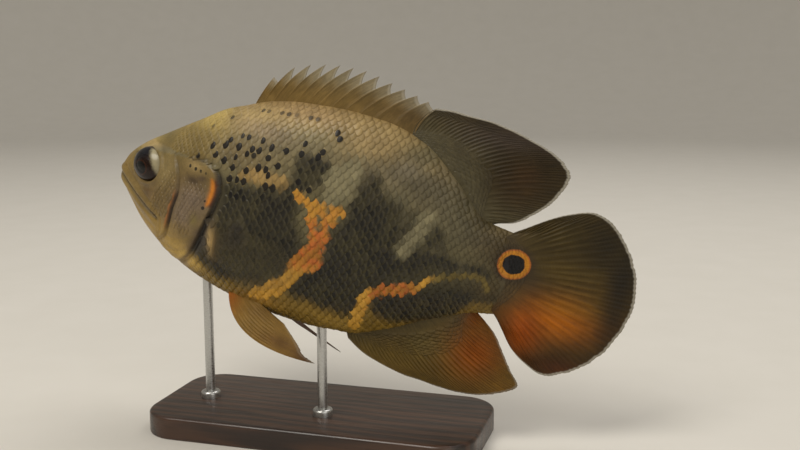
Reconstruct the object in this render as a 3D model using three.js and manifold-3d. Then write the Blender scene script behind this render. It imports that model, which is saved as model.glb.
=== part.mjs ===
// Oscar fish, a still life-size display model swimming in a gentle curve, held on a plain stand.
// The body is one deformed closed surface, parted with thin cuts into the parts that a person would name.
// Fish places are given on a straight fish as [along, side, up], in shares of the standard length:
// along runs from the snout (0) to the end of the tail stem (1), side is towards the fish's left,
// up is towards the back. The function posed() bends and tilts the straight fish into the swimming pose.
// Part frame: millimetres, +Z up, head towards -X, the fish's left side towards -Y,
// origin at the middle of the underside of the stand's base.

import * as THREE from 'three';
import { mergeVertices } from 'three/addons/utils/BufferGeometryUtils.js';
import Module from 'manifold-3d';

const wasm = await Module();
wasm.setup();

// Driving dimensions
const STANDARD_LENGTH = 195;
const GAP = 0.3;
const CENTRE = [-12, -8, 95];
const HEAD_TURN = THREE.MathUtils.degToRad(-15.5);
const NOSE_UP = THREE.MathUtils.degToRad(10.8);
const BENDS = [
  { from: 0.3, to: 1.0, turn: THREE.MathUtils.degToRad(30) },
  { from: 1.0, to: 1.3, turn: THREE.MathUtils.degToRad(7) },
];
const BODY_STATIONS = 38;
const BODY_SIDES = 24;
const NOSE_ROUNDING = 0.035;
const GILL_COVER_THICKNESS = 3.2;
const EYE = { at: [0.137, 0.048, 0.045], radius: 9, depth: 5.6, turn: 14, tip: 10 };
const FIN_EDGE = 0.7;
const ACROSS = 0.2;
const BASE = { length: 150, width: 66, height: 10, corner: 16, edge: 1.5 };
const ROD = { radius: 2.2, sides: 16, front: 0.31, rear: 0.625 };

// Body outline: height of back and belly and half the width, each at its share of the length
const BACK = [
  [0, 0.01], [0.012, 0.033], [0.04, 0.062], [0.08, 0.091], [0.13, 0.119], [0.18, 0.147], [0.24, 0.18],
  [0.31, 0.219], [0.4, 0.247], [0.5, 0.265], [0.6, 0.27], [0.69, 0.264], [0.78, 0.236], [0.86, 0.172],
  [0.93, 0.108], [1, 0.09],
];
const BELLY = [
  [0, -0.012], [0.02, -0.033], [0.06, -0.065], [0.12, -0.112], [0.2, -0.155], [0.3, -0.186],
  [0.4, -0.204], [0.5, -0.214], [0.6, -0.216], [0.68, -0.207], [0.78, -0.17], [0.86, -0.13],
  [0.93, -0.106], [1, -0.098],
];
const HALF_WIDTH = [
  [0, 0.016], [0.02, 0.028], [0.06, 0.046], [0.12, 0.066], [0.18, 0.079], [0.25, 0.09], [0.35, 0.098],
  [0.45, 0.098], [0.55, 0.09], [0.65, 0.077], [0.75, 0.06], [0.85, 0.043], [0.95, 0.028], [1, 0.022],
];

// A smooth curve through knots that never overshoots them
function curveThrough(knots) {
  const count = knots.length;
  const slopes = [];
  for (let i = 0; i < count - 1; i += 1) {
    slopes.push((knots[i + 1][1] - knots[i][1]) / (knots[i + 1][0] - knots[i][0]));
  }
  const tangents = [slopes[0]];
  for (let i = 1; i < count - 1; i += 1) {
    const before = slopes[i - 1];
    const after = slopes[i];
    tangents.push(before * after > 0 ? (2 * before * after) / (before + after) : 0);
  }
  tangents.push(slopes[count - 2]);
  return (x) => {
    const at = Math.min(Math.max(x, knots[0][0]), knots[count - 1][0]);
    let i = 0;
    while (i < count - 2 && at > knots[i + 1][0]) i += 1;
    const step = knots[i + 1][0] - knots[i][0];
    const t = (at - knots[i][0]) / step;
    const rest = 1 - t;
    return knots[i][1] * (1 + 2 * t) * rest * rest + knots[i + 1][1] * t * t * (3 - 2 * t)
      + step * (tangents[i] * t * rest * rest - tangents[i + 1] * t * t * rest);
  };
}

const back = curveThrough(BACK);
const belly = curveThrough(BELLY);
const halfWidth = curveThrough(HALF_WIDTH);

// The heading of the backbone at a share of the length, and the backbone's path as a table of steps
function heading(along) {
  return BENDS.reduce(
    (angle, bend) => angle + bend.turn * THREE.MathUtils.clamp((along - bend.from) / (bend.to - bend.from), 0, 1),
    HEAD_TURN,
  );
}

const PATH_START = -0.1;
const PATH_STEP = 0.005;
const PATH = [[0, 0]];
for (let i = 0; i < 300; i += 1) {
  const angle = heading(PATH_START + (i + 0.5) * PATH_STEP);
  const length = PATH_STEP * STANDARD_LENGTH;
  PATH.push([PATH[i][0] + length * Math.cos(angle), PATH[i][1] + length * Math.sin(angle)]);
}

function onPath(along) {
  const steps = (along - PATH_START) / PATH_STEP;
  const i = Math.floor(steps);
  const t = steps - i;
  return [0, 1].map((axis) => PATH[i][axis] * (1 - t) + PATH[i + 1][axis] * t);
}

const MIDDLE = onPath(0.5);

function posed(along, side, up) {
  const [pathX, pathY] = onPath(along);
  const angle = heading(along);
  const x = pathX - MIDDLE[0] + side * STANDARD_LENGTH * Math.sin(angle);
  const y = pathY - MIDDLE[1] - side * STANDARD_LENGTH * Math.cos(angle);
  const z = up * STANDARD_LENGTH;
  return new THREE.Vector3(
    CENTRE[0] + x * Math.cos(NOSE_UP) + z * Math.sin(NOSE_UP),
    CENTRE[1] + y,
    CENTRE[2] - x * Math.sin(NOSE_UP) + z * Math.cos(NOSE_UP),
  );
}

// Moves every point of a closed three.js shape through a function and welds its shared points
function reshaped(geometry, place) {
  const bare = geometry.index ? geometry.toNonIndexed() : geometry.clone();
  bare.deleteAttribute('normal');
  bare.deleteAttribute('uv');
  const points = bare.getAttribute('position');
  for (let i = 0; i < points.count; i += 1) {
    const moved = place(points.getX(i), points.getY(i), points.getZ(i));
    points.setXYZ(i, moved.x, moved.y, moved.z);
  }
  return mergeVertices(bare, 1e-4);
}

// A closed body from a welded shape, with its faces turned outwards
function solid(geometry) {
  const vertProperties = new Float32Array(geometry.getAttribute('position').array);
  const triVerts = new Uint32Array(geometry.index.array);
  const made = new wasm.Manifold(new wasm.Mesh({ numProp: 3, vertProperties, triVerts }));
  if (made.volume() > 0) return made;
  for (let i = 0; i < triVerts.length; i += 3) {
    [triVerts[i], triVerts[i + 1]] = [triVerts[i + 1], triVerts[i]];
  }
  return new wasm.Manifold(new wasm.Mesh({ numProp: 3, vertProperties, triVerts }));
}

function geometryOf(body) {
  const mesh = body.getMesh();
  const geometry = new THREE.BufferGeometry();
  geometry.setAttribute('position', new THREE.BufferAttribute(mesh.vertProperties, mesh.numProp));
  geometry.setIndex(new THREE.BufferAttribute(mesh.triVerts, 1));
  return geometry;
}

// The whole body, grown outwards by some millimetres (or shrunk, when the number is negative)
function bodySurface(grown) {
  const extra = grown / STANDARD_LENGTH;
  const ball = new THREE.SphereGeometry(1, BODY_SIDES, BODY_STATIONS);
  return solid(reshaped(ball, (x, y, z) => {
    const share = Math.acos(THREE.MathUtils.clamp(y, -1, 1)) / Math.PI;
    const ring = Math.min((share * BODY_STATIONS) / (BODY_STATIONS - 1), 1);
    const along = ring ** 1.3;
    const atEnd = share > 0.999 ? 0 : 1;
    const toNose = Math.min(along / NOSE_ROUNDING, 1);
    const bluntness = Math.sqrt(1 - (1 - toNose) ** 2) * atEnd;
    const angle = Math.atan2(x, z);
    const middle = (back(along) + belly(along)) / 2;
    const halfHeight = (back(along) - belly(along)) / 2 + extra;
    const widthPower = Math.sin(angle) > 0 ? 1.05 : 0.9;
    const across = Math.sign(Math.cos(angle)) * Math.abs(Math.cos(angle)) ** widthPower;
    return posed(
      along - extra * (1 - 2 * along),
      (halfWidth(along) + extra) * across * bluntness,
      middle + halfHeight * Math.sin(angle) * bluntness,
    );
  }));
}

function smoothLine(points, steps) {
  const curve = new THREE.SplineCurve(points.map(([along, up]) => new THREE.Vector2(along, up)));
  return curve.getPoints(steps).map((point) => [point.x, point.y]);
}

// A region of the fish seen from the side, from one place across it to another; the outline is in shares
function region(outline, from, to) {
  const shape = new THREE.Shape(outline.map(([along, up]) => new THREE.Vector2(along, up)));
  const block = new THREE.ExtrudeGeometry(shape, { depth: to - from, steps: 4, bevelEnabled: false });
  return solid(reshaped(block, (along, up, side) => posed(along, from + side, up)));
}

// The same outline moved out by some shares, away from its own middle
function widened(outline, by) {
  const middle = [0, 1].map((axis) => outline.reduce((sum, point) => sum + point[axis], 0) / outline.length);
  return outline.map((point) => {
    const reach = Math.hypot(point[0] - middle[0], point[1] - middle[1]);
    return point.map((value, axis) => value + ((value - middle[axis]) * by) / reach);
  });
}

// Lines of the thin cuts between head, jaw, trunk and tail stem, from top to bottom
const SHOULDER_LINE = smoothLine([
  [0.3, 0.32], [0.318, 0.22], [0.35, 0.14], [0.38, 0.09], [0.386, 0.04], [0.372, -0.02], [0.35, -0.075],
  [0.322, -0.12], [0.288, -0.17], [0.27, -0.3],
], 18);
const STEM_LINE = [[0.9, 0.4], [0.905, 0.08], [0.905, -0.08], [0.9, -0.4]];
const MOUTH_LINE = [[-0.05, 0.004], [0, 0.003], [0.033, -0.002], [0.055, -0.011], [0.1, -0.028], [0.165, -0.055], [0.197, -0.068]];
const JAW_END = [[0.205, -0.085], [0.2, -0.125], [0.185, -0.3]];

const HALF_GAP = GAP / 2 / STANDARD_LENGTH;
const whole = bodySurface(0);
const clearBody = bodySurface(GAP);

function shifted(line, by) {
  return line.map(([along, up]) => [along + by, up]);
}

// All of the fish that lies behind a line, which is given from top to bottom and moved back by some shares
function behind(line, by) {
  return region([...shifted(line, by), [1.08, -0.4], [1.08, 0.4]], -ACROSS, ACROSS);
}

function jawBlock(by) {
  const mouth = MOUTH_LINE.map(([along, up]) => [along, up + by]);
  return region([...mouth, ...shifted(JAW_END, by), [-0.05, -0.3]], -ACROSS, ACROSS);
}

// Gill covers: thin plates let into each side of the head
const GILL_OUTLINE = [
  [0.262, 0.085], [0.259, 0.03], [0.248, -0.035], [0.226, -0.085], [0.212, -0.115], [0.255, -0.138],
  [0.3, -0.125], [0.327, -0.085], [0.347, -0.035], [0.366, 0.01], [0.373, 0.05], [0.36, 0.083], [0.31, 0.098],
];
const OUTLINE_POINTS = 20;
const PLATE_FROM = 0.03;
const plateCore = bodySurface(-GILL_COVER_THICKNESS);
const pocketCore = bodySurface(-GILL_COVER_THICKNESS - GAP);

function gillRegion(side, by) {
  const outline = widened(smoothLine([...GILL_OUTLINE, GILL_OUTLINE[0]], OUTLINE_POINTS).slice(1), by);
  return side > 0 ? region(outline, PLATE_FROM, ACROSS) : region(outline, -ACROSS, -PLATE_FROM);
}

// Eyes: flattened balls, turned to face outwards, a little forwards and a little up
function eyeBall(side, extra) {
  const [along, across, up] = EYE.at;
  const centre = posed(along, across * side, up);
  const facing = posed(along, side, up).sub(centre).normalize();
  const forward = posed(along - 0.01, across * side, up).sub(centre).normalize();
  const upward = new THREE.Vector3().crossVectors(facing, forward).multiplyScalar(-side).normalize();
  facing.addScaledVector(forward, Math.sin(THREE.MathUtils.degToRad(EYE.turn)));
  facing.addScaledVector(upward, Math.sin(THREE.MathUtils.degToRad(EYE.tip))).normalize();
  const turn = new THREE.Quaternion().setFromUnitVectors(new THREE.Vector3(0, 1, 0), facing);
  const ball = new THREE.SphereGeometry(1, 14, 10);
  return solid(reshaped(ball, (x, y, z) => new THREE.Vector3(
    x * (EYE.radius + extra),
    y * (EYE.depth + extra),
    z * (EYE.radius + extra),
  ).applyQuaternion(turn).add(centre)));
}

// A fin is a thin fan of rays from its root line, set into the body, to its free edge. Every line is a
// function of the share of the fin from its first ray to its last; bow gives the middle of curved rays.
function fin({ root, edge, bow, rays, rows, thickness, side, spread = (share) => share }) {
  const sheet = new THREE.BoxGeometry(1, 1, 1, rays, rows, 1);
  const fan = reshaped(sheet, (x, y, z) => {
    const share = spread(x + 0.5);
    const out = y + 0.5;
    const start = root(share);
    const end = edge(share);
    const middle = bow ? bow(share) : start.map((value, axis) => (value + end[axis]) / 2);
    const weights = [(1 - out) * (1 - 2 * out), 4 * out * (1 - out), out * (2 * out - 1)];
    const [along, up] = [0, 1].map(
      (axis) => start[axis] * weights[0] + middle[axis] * weights[1] + end[axis] * weights[2],
    );
    const thick = (thickness + (FIN_EDGE - thickness) * out) / STANDARD_LENGTH;
    return posed(along, side(share, out) + thick * z, up);
  });
  return solid(fan).subtract(clearBody);
}

function lineThrough(points) {
  const curve = new THREE.SplineCurve(points.map(([along, up]) => new THREE.Vector2(along, up)));
  return (share) => {
    const point = curve.getPoint(share);
    return [point.x, point.y];
  };
}

// A root line that runs along the back or the belly, set a little way into the body
function rootOn(profile, first, last, sunk) {
  return (share) => {
    const along = first + (last - first) * share;
    return [along, profile(along) + sunk];
  };
}

const inMiddle = () => 0;

// Spiny dorsal fin: each spine ends in a free point above the notched membrane
const SPINES = 13;
const FIRST_SPINE = 0.37;
const LAST_SPINE = 0.751;
const SPINE_LEAN = curveThrough([[0, 0.038], [1, 0.055], [3, 0.068], [9, 0.059], [12, 0.04]]);
const SPINE_TIP = curveThrough([[0, 0.306], [1, 0.335], [2, 0.35], [4.5, 0.363], [7, 0.357], [12, 0.319]]);
const NOTCH_STEPS = [0, 0.3, 0.62, 0.95];
const spineRoot = rootOn(back, FIRST_SPINE, LAST_SPINE, -0.02);

function spinySpread(share) {
  const column = Math.round(share * (SPINES - 1) * NOTCH_STEPS.length);
  const spine = Math.floor(column / NOTCH_STEPS.length);
  return (spine + NOTCH_STEPS[column % NOTCH_STEPS.length]) / (SPINES - 1);
}

function spinyEdge(share) {
  const place = share * (SPINES - 1);
  const past = place - Math.floor(place + 0.01);
  const height = past < 0.02 ? 1 : 0.96 - 0.18 * past;
  const [along, up] = spineRoot(share);
  const tip = [FIRST_SPINE + (LAST_SPINE - FIRST_SPINE) * share + SPINE_LEAN(place), SPINE_TIP(place)];
  return [along + (tip[0] - along) * height, up + (tip[1] - up) * height];
}

const spinyDorsal = fin({
  root: spineRoot,
  edge: spinyEdge,
  rays: (SPINES - 1) * NOTCH_STEPS.length,
  rows: 2,
  thickness: 2.6,
  side: inMiddle,
  spread: spinySpread,
});

// Soft dorsal fin, a tall rounded lobe that reaches back over the root of the tail fin
const softDorsal = fin({
  root: rootOn(back, 0.753, 0.925, -0.02),
  edge: lineThrough([
    [0.795, 0.315], [0.828, 0.317], [0.864, 0.313], [0.909, 0.31], [0.953, 0.301], [0.995, 0.289], [1.041, 0.272],
    [1.077, 0.25], [1.094, 0.22], [1.072, 0.17], [1.04, 0.137], [1.003, 0.109], [0.965, 0.1],
  ]),
  rays: 18,
  rows: 4,
  thickness: 2.6,
  side: (share, out) => -0.012 * out * out * share,
});

// Anal fin: three short spines in front, then a pointed soft lobe
const analFin = fin({
  root: rootOn(belly, 0.672, 0.93, 0.03),
  edge: lineThrough([
    [0.69, -0.222], [0.729, -0.246], [0.777, -0.262], [0.826, -0.274], [0.865, -0.278], [0.906, -0.284],
    [0.953, -0.288], [1.0, -0.285], [1.045, -0.272], [1.079, -0.251], [1.056, -0.218], [1.03, -0.178],
    [1.006, -0.143], [0.98, -0.119],
  ]),
  rays: 18,
  rows: 4,
  thickness: 2.4,
  side: (share, out) => -0.01 * out * out * share,
});

// Tail fin: a broad rounded fan
const tailFin = fin({
  root: (share) => [0.985, 0.078 - 0.164 * share],
  edge: lineThrough([
    [1.018, 0.1], [1.071, 0.133], [1.113, 0.152], [1.158, 0.162], [1.2, 0.147], [1.236, 0.112],
    [1.264, 0.065], [1.28, 0.019], [1.284, -0.03], [1.272, -0.082], [1.246, -0.135], [1.203, -0.178],
    [1.163, -0.203], [1.126, -0.212], [1.09, -0.198], [1.045, -0.165], [1.012, -0.118],
  ]),
  rays: 20,
  rows: 5,
  thickness: 3.6,
  side: (share, out) => 0.004 * Math.sin(share * Math.PI * 3) * out,
});

// Pelvic fins hang and trail from the breast; their first ray ends in a thread. The left one hangs, leaning
// outwards, and the right one is held out flatter.
const pelvicRoot = lineThrough([[0.402, -0.165], [0.422, -0.165], [0.445, -0.168]]);

const leftPelvic = fin({
  root: pelvicRoot,
  bow: lineThrough([[0.472, -0.255], [0.481, -0.239], [0.491, -0.22], [0.501, -0.202], [0.506, -0.192]]),
  edge: lineThrough([[0.652, -0.268], [0.622, -0.259], [0.606, -0.244], [0.584, -0.227], [0.562, -0.21]]),
  rays: 8,
  rows: 6,
  thickness: 2.2,
  side: (share, out) => 0.034 + 0.048 * out - 0.022 * share * out,
});

const rightPelvic = fin({
  root: pelvicRoot,
  bow: lineThrough([[0.5, -0.23], [0.503, -0.229], [0.508, -0.226]]),
  edge: lineThrough([[0.643, -0.305], [0.627, -0.292], [0.612, -0.277], [0.6, -0.262]]),
  rays: 8,
  rows: 6,
  thickness: 2.2,
  side: (share, out) => -0.034 - 0.09 * out + 0.055 * share * out,
});

// Pectoral fins fan back from behind the gill covers, standing off the flank
function pectoralFin(way) {
  return fin({
    root: lineThrough([[0.374, -0.036], [0.37, -0.07], [0.368, -0.106]]),
    bow: lineThrough([[0.478, -0.012], [0.478, -0.066], [0.455, -0.118]]),
    edge: lineThrough([
      [0.56, -0.01], [0.587, -0.03], [0.6, -0.057], [0.594, -0.085], [0.567, -0.108], [0.528, -0.125],
      [0.48, -0.131],
    ]),
    rays: 9,
    rows: 5,
    thickness: 2.2,
    side: (share, out) => way * (0.0915 - 0.012 * share + 0.11 * out - 0.045 * out * out),
  });
}

// Display stand: a flat base with rounded corners and two slender rods up to the belly
function standBase() {
  const { length, width, height, corner, edge } = BASE;
  const [x, y] = [length / 2 - edge, width / 2 - edge];
  const r = corner - edge;
  const outline = new THREE.Shape();
  outline.moveTo(-x + r, -y);
  outline.lineTo(x - r, -y);
  outline.absarc(x - r, -y + r, r, -Math.PI / 2, 0);
  outline.lineTo(x, y - r);
  outline.absarc(x - r, y - r, r, 0, Math.PI / 2);
  outline.lineTo(-x + r, y);
  outline.absarc(-x + r, y - r, r, Math.PI / 2, Math.PI);
  outline.lineTo(-x, -y + r);
  outline.absarc(-x + r, -y + r, r, Math.PI, Math.PI * 1.5);
  const slab = new THREE.ExtrudeGeometry(outline, {
    depth: height - 2 * edge,
    bevelSize: edge,
    bevelThickness: edge,
    bevelSegments: 1,
    curveSegments: 4,
  });
  slab.translate(0, 0, edge);
  return solid(reshaped(slab, (px, py, pz) => new THREE.Vector3(px, py, pz)));
}

function standRod(along) {
  const foot = posed(along, 0, belly(along));
  const bottom = BASE.height + GAP;
  const rod = new THREE.CylinderGeometry(ROD.radius, ROD.radius, foot.z + 6 - bottom, ROD.sides);
  rod.rotateX(Math.PI / 2);
  rod.translate(foot.x, foot.y, (foot.z + 6 + bottom) / 2);
  return solid(reshaped(rod, (x, y, z) => new THREE.Vector3(x, y, z))).subtract(clearBody);
}

const looks = {
  flesh: new THREE.MeshStandardMaterial({ color: 0x6f6a4a, roughness: 0.45 }),
  dark: new THREE.MeshStandardMaterial({ color: 0x34383c, roughness: 0.45 }),
  fin: new THREE.MeshStandardMaterial({ color: 0x5a4a2c, roughness: 0.5 }),
  eye: new THREE.MeshStandardMaterial({ color: 0x1a1612, roughness: 0.1 }),
  base: new THREE.MeshStandardMaterial({ color: 0x3a2a1e, roughness: 0.4 }),
  rod: new THREE.MeshStandardMaterial({ color: 0x9a9a98, roughness: 0.3, metalness: 1 }),
};

const fish = new THREE.Group();

function add(name, body, look) {
  const mesh = new THREE.Mesh(geometryOf(body), look);
  mesh.name = name;
  fish.add(mesh);
}

const sockets = eyeBall(1, GAP).add(eyeBall(-1, GAP));
const pockets = gillRegion(1, HALF_GAP).subtract(pocketCore).add(gillRegion(-1, HALF_GAP).subtract(pocketCore));
const headAndCovers = whole.subtract(behind(SHOULDER_LINE, -HALF_GAP));
const skull = headAndCovers.subtract(pockets).subtract(sockets);

add('head', skull.subtract(jawBlock(HALF_GAP)), looks.flesh);
add('lower_jaw', skull.intersect(jawBlock(-HALF_GAP)), looks.flesh);
add('trunk', whole.intersect(behind(SHOULDER_LINE, HALF_GAP)).subtract(behind(STEM_LINE, -HALF_GAP)), looks.dark);
add('tail_stem', whole.intersect(behind(STEM_LINE, HALF_GAP)), looks.dark);
for (const [name, way] of [['left', 1], ['right', -1]]) {
  const cover = headAndCovers.subtract(plateCore).intersect(gillRegion(way, -HALF_GAP));
  add(`gill_cover_${name}`, cover, looks.flesh);
  add(`eye_${name}`, eyeBall(way, 0), looks.eye);
  add(`pectoral_fin_${name}`, pectoralFin(way), looks.fin);
}
add('pelvic_fin_left', leftPelvic, looks.fin);
add('pelvic_fin_right', rightPelvic, looks.fin);
add('dorsal_fin_spiny', spinyDorsal, looks.fin);
add('dorsal_fin_soft', softDorsal, looks.fin);
add('anal_fin', analFin, looks.fin);
add('tail_fin', tailFin, looks.fin);
add('stand_base', standBase(), looks.base);
add('stand_rod_front', standRod(ROD.front), looks.rod);
add('stand_rod_rear', standRod(ROD.rear), looks.rod);

export default fish;
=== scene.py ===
# Looks of the oscar fish display model: skin, scales, fins, eyes and stand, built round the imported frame.
# Fish places are given on a straight fish as [along, side, up], in shares of its standard length:
# along runs from the snout (0) to the end of the tail stem (1), side is towards the fish's left and
# up is towards the back. Lines, outlines, dabs and spots list them in thousandths of that length.
# posed() bends and tilts the straight fish into its swimming pose, in metres.

import math

import bpy
import numpy as np
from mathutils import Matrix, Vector


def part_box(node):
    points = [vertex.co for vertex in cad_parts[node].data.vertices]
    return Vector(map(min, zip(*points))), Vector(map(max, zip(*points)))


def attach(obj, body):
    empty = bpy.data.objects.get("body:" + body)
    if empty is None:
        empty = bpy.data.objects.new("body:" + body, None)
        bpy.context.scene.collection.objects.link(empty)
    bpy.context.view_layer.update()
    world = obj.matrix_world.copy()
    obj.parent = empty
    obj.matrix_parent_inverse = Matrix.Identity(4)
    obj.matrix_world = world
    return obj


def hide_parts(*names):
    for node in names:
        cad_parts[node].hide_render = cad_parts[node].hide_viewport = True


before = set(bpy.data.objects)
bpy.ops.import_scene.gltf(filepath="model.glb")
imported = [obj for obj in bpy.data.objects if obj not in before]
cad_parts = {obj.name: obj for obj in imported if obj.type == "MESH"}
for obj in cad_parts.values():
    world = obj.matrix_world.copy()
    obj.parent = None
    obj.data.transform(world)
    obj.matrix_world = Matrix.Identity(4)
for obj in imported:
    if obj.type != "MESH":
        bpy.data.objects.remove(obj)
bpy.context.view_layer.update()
chance = np.random.default_rng(7)

# Driving dimensions, the same as in the frame
LENGTH = 0.195
MM = 0.001 / LENGTH
CENTRE = (-0.012, -0.008, 0.095)
HEAD_TURN = math.radians(-15.5)
NOSE_UP = math.radians(10.8)
BENDS = ((0.3, 1.0, math.radians(30)), (1.0, 1.3, math.radians(7)))
NOSE_ROUNDING = 0.035
TAIL_END = 1.014
BACK = (
    (0, 0.01), (0.012, 0.033), (0.04, 0.062), (0.08, 0.091), (0.13, 0.119), (0.18, 0.147), (0.24, 0.18),
    (0.31, 0.219), (0.4, 0.247), (0.5, 0.265), (0.6, 0.27), (0.69, 0.264), (0.78, 0.236), (0.86, 0.172),
    (0.93, 0.108), (1, 0.09),
)
BELLY = (
    (0, -0.012), (0.02, -0.033), (0.06, -0.065), (0.12, -0.112), (0.2, -0.155), (0.3, -0.186),
    (0.4, -0.204), (0.5, -0.214), (0.6, -0.216), (0.68, -0.207), (0.78, -0.17), (0.86, -0.13),
    (0.93, -0.106), (1, -0.098),
)
HALF_WIDTH = (
    (0, 0.016), (0.02, 0.028), (0.06, 0.046), (0.12, 0.066), (0.18, 0.079), (0.25, 0.09), (0.35, 0.098),
    (0.45, 0.098), (0.55, 0.09), (0.65, 0.077), (0.75, 0.06), (0.85, 0.043), (0.95, 0.028), (1, 0.022),
)
EYE_AT = (0.137, 0.048, 0.045)
EYE_RADIUS = (0.0105, 0.0084)
EYE_DEPTH = 0.0058
EYE_TURN = math.radians(3)
EYE_TIP = math.radians(8)
SKIN_RINGS = 400
SKIN_SIDES = 236
COAT_DEPTH = 0.45 * MM

# Camera, as the photograph sees the fish
AIM = (0.0389, -0.008, 0.0959)
CAMERA_DISTANCE = 0.43
AZIMUTH = math.radians(16.3)
ELEVATION = math.radians(9.4)
LENS = 46.17

SIDES = (("left", 1), ("right", -1))


def smooth(value, low, high):
    share = np.clip((value - low) / (high - low), 0, 1)
    return share * share * (3 - 2 * share)


def hump(off, width=1.0):
    return np.exp(-((off / width) ** 2))


def distance(s, h, at, reach=(1, 1)):
    """Distance from a place, in shares of a reach along and a reach up."""
    return np.hypot((s - at[0]) / reach[0], (h - at[1]) / reach[1])


def curve_through(knots):
    """A smooth curve through knots that never overshoots them."""
    x, y = np.array(knots, float).T
    slope = np.diff(y) / np.diff(x)
    before, after = slope[:-1], slope[1:]
    same = before * after > 0
    inner = np.where(same, 2 * before * after / np.where(same, before + after, 1), 0)
    tangent = np.concatenate([slope[:1], inner, slope[-1:]])

    def value(at):
        at = np.clip(at, x[0], x[-1])
        i = np.clip(np.searchsorted(x, at, side="right") - 1, 0, len(x) - 2)
        step = x[i + 1] - x[i]
        t = (at - x[i]) / step
        rest = 1 - t
        ends = y[i] * (1 + 2 * t) * rest * rest + y[i + 1] * t * t * (3 - 2 * t)
        return ends + step * (tangent[i] * t * rest * rest - tangent[i + 1] * t * t * rest)

    return value


back = curve_through(BACK)
belly = curve_through(BELLY)
half_width = curve_through(HALF_WIDTH)


def line_through(points):
    """A smooth line through points in thousandths, as a function of the share from the first to the last."""
    p = np.array(points) / 1000
    last = len(p) - 1

    def place(share):
        at = np.clip(share, 0, 1) * last
        i = np.minimum(at.astype(int), last - 1)
        t = (at - i)[..., None]
        before, start, end, after = p[np.maximum(i - 1, 0)], p[i], p[i + 1], p[np.minimum(i + 2, last)]
        leave, arrive = (end - before) / 2, (after - start) / 2
        cubic = (2 * start - 2 * end + leave + arrive) * t**3
        return cubic + (-3 * start + 3 * end - 2 * leave - arrive) * t**2 + leave * t + start

    return place


def smooth_line(points, steps=12):
    return line_through(points)(np.linspace(0, 1, steps + 1))


def outline(points):
    """A smooth closed outline as a chain of points that ends where it starts."""
    around = [points[-1], *points, points[0], points[1]]
    chain = smooth_line(around, (len(around) - 1) * 5)
    return chain[5:-5]


def to_chain(chain, s, h):
    """Distance from each place to a chain of points, positive on its left hand as it runs."""
    best = np.full(np.shape(s), 9.0)
    signed = best.copy()
    for (ax, ay), (bx, by) in zip(chain[:-1], chain[1:]):
        dx, dy = bx - ax, by - ay
        t = np.clip(((s - ax) * dx + (h - ay) * dy) / (dx * dx + dy * dy + 1e-12), 0, 1)
        far = np.hypot(s - ax - t * dx, h - ay - t * dy)
        nearer = far < best
        best = np.where(nearer, far, best)
        hand = np.where(dx * (h - ay) - dy * (s - ax) >= 0, far, -far)
        signed = np.where(nearer, hand, signed)
    return signed


def within(points, s, h):
    """Depth inside a smooth closed outline: positive inside and negative outside, in shares of the length."""
    chain = outline(points)
    crossings = np.zeros(np.shape(s), int)
    for (ax, ay), (bx, by) in zip(chain[:-1], chain[1:]):
        spans = (ay > h) != (by > h)
        crossings += spans & (s < (bx - ax) * (h - ay) / (by - ay if by != ay else 1e-12) + ax)
    return np.where(crossings % 2 == 1, 1, -1) * np.abs(to_chain(chain, s, h))


# The backbone's path as a table of steps, and the pose
PATH_START = -0.1
PATH_STEP = 0.005
PATH_STEPS = np.arange(301) * PATH_STEP + PATH_START


def heading(along):
    turns = [turn * np.clip((along - start) / (end - start), 0, 1) for start, end, turn in BENDS]
    return HEAD_TURN + sum(turns)


STEP_HEADINGS = heading(PATH_STEPS[:-1] + PATH_STEP / 2)
PATH_X = np.concatenate([[0], np.cumsum(np.cos(STEP_HEADINGS))]) * PATH_STEP * LENGTH
PATH_Y = np.concatenate([[0], np.cumsum(np.sin(STEP_HEADINGS))]) * PATH_STEP * LENGTH
MIDDLE = [np.interp(0.5, PATH_STEPS, path) for path in (PATH_X, PATH_Y)]


def posed(place):
    """Posed places in metres for straight-fish places (..., 3)."""
    s, w, h = np.moveaxis(np.asarray(place, float), -1, 0)
    angle = heading(s)
    x = np.interp(s, PATH_STEPS, PATH_X) - MIDDLE[0] + w * LENGTH * np.sin(angle)
    y = np.interp(s, PATH_STEPS, PATH_Y) - MIDDLE[1] - w * LENGTH * np.cos(angle)
    z = h * LENGTH
    return np.stack([
        CENTRE[0] + x * math.cos(NOSE_UP) + z * math.sin(NOSE_UP),
        CENTRE[1] + y,
        CENTRE[2] - x * math.sin(NOSE_UP) + z * math.cos(NOSE_UP),
    ], -1)


# Lines of the head, from the side
MOUTH = smooth_line([(-20, 3), (20, 1), (55, -11), (100, -28), (165, -55), (200, -69)], 20)
LIP_CREASE = smooth_line([(45, 22), (80, 8), (120, -10), (160, -29), (195, -50)])
JAW_FOLD = smooth_line([(192, -36), (211, -60), (209, -88), (194, -112)])
CHIN_CREASE = smooth_line([(40, -34), (80, -54), (130, -76), (180, -94)])
CHEEK_EDGE = smooth_line([
    (236, 78), (254, 50), (261, 15), (250, -22), (237, -66), (220, -98), (185, -120), (140, -115),
], 28)
GILL_EDGE = smooth_line([
    (290, 98), (330, 100), (360, 84), (374, 50), (367, 10), (349, -35), (328, -85), (300, -125),
    (262, -150), (210, -158), (160, -150),
], 36)
COVER_SEAM = smooth_line([(222, -102), (250, -100), (290, -88), (333, -66)])
THROAT_SEAM = smooth_line([(200, -122), (230, -130), (262, -128), (298, -112)])
BROW = smooth_line([(88, 70), (112, 92), (150, 100), (184, 84), (200, 60)])
# Folds as (line, depth in millimetres, width in shares of the length)
FOLDS = (
    (BROW, 0.2, 0.004), (LIP_CREASE, 0.35, 0.0045), (JAW_FOLD, 0.4, 0.004), (CHIN_CREASE, 0.3, 0.0045),
    (COVER_SEAM, 0.3, 0.003), (THROAT_SEAM, 0.4, 0.003),
)
NOSTRIL = (0.074, 0.058)
FIN_BASE = (0.371, -0.071)


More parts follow.
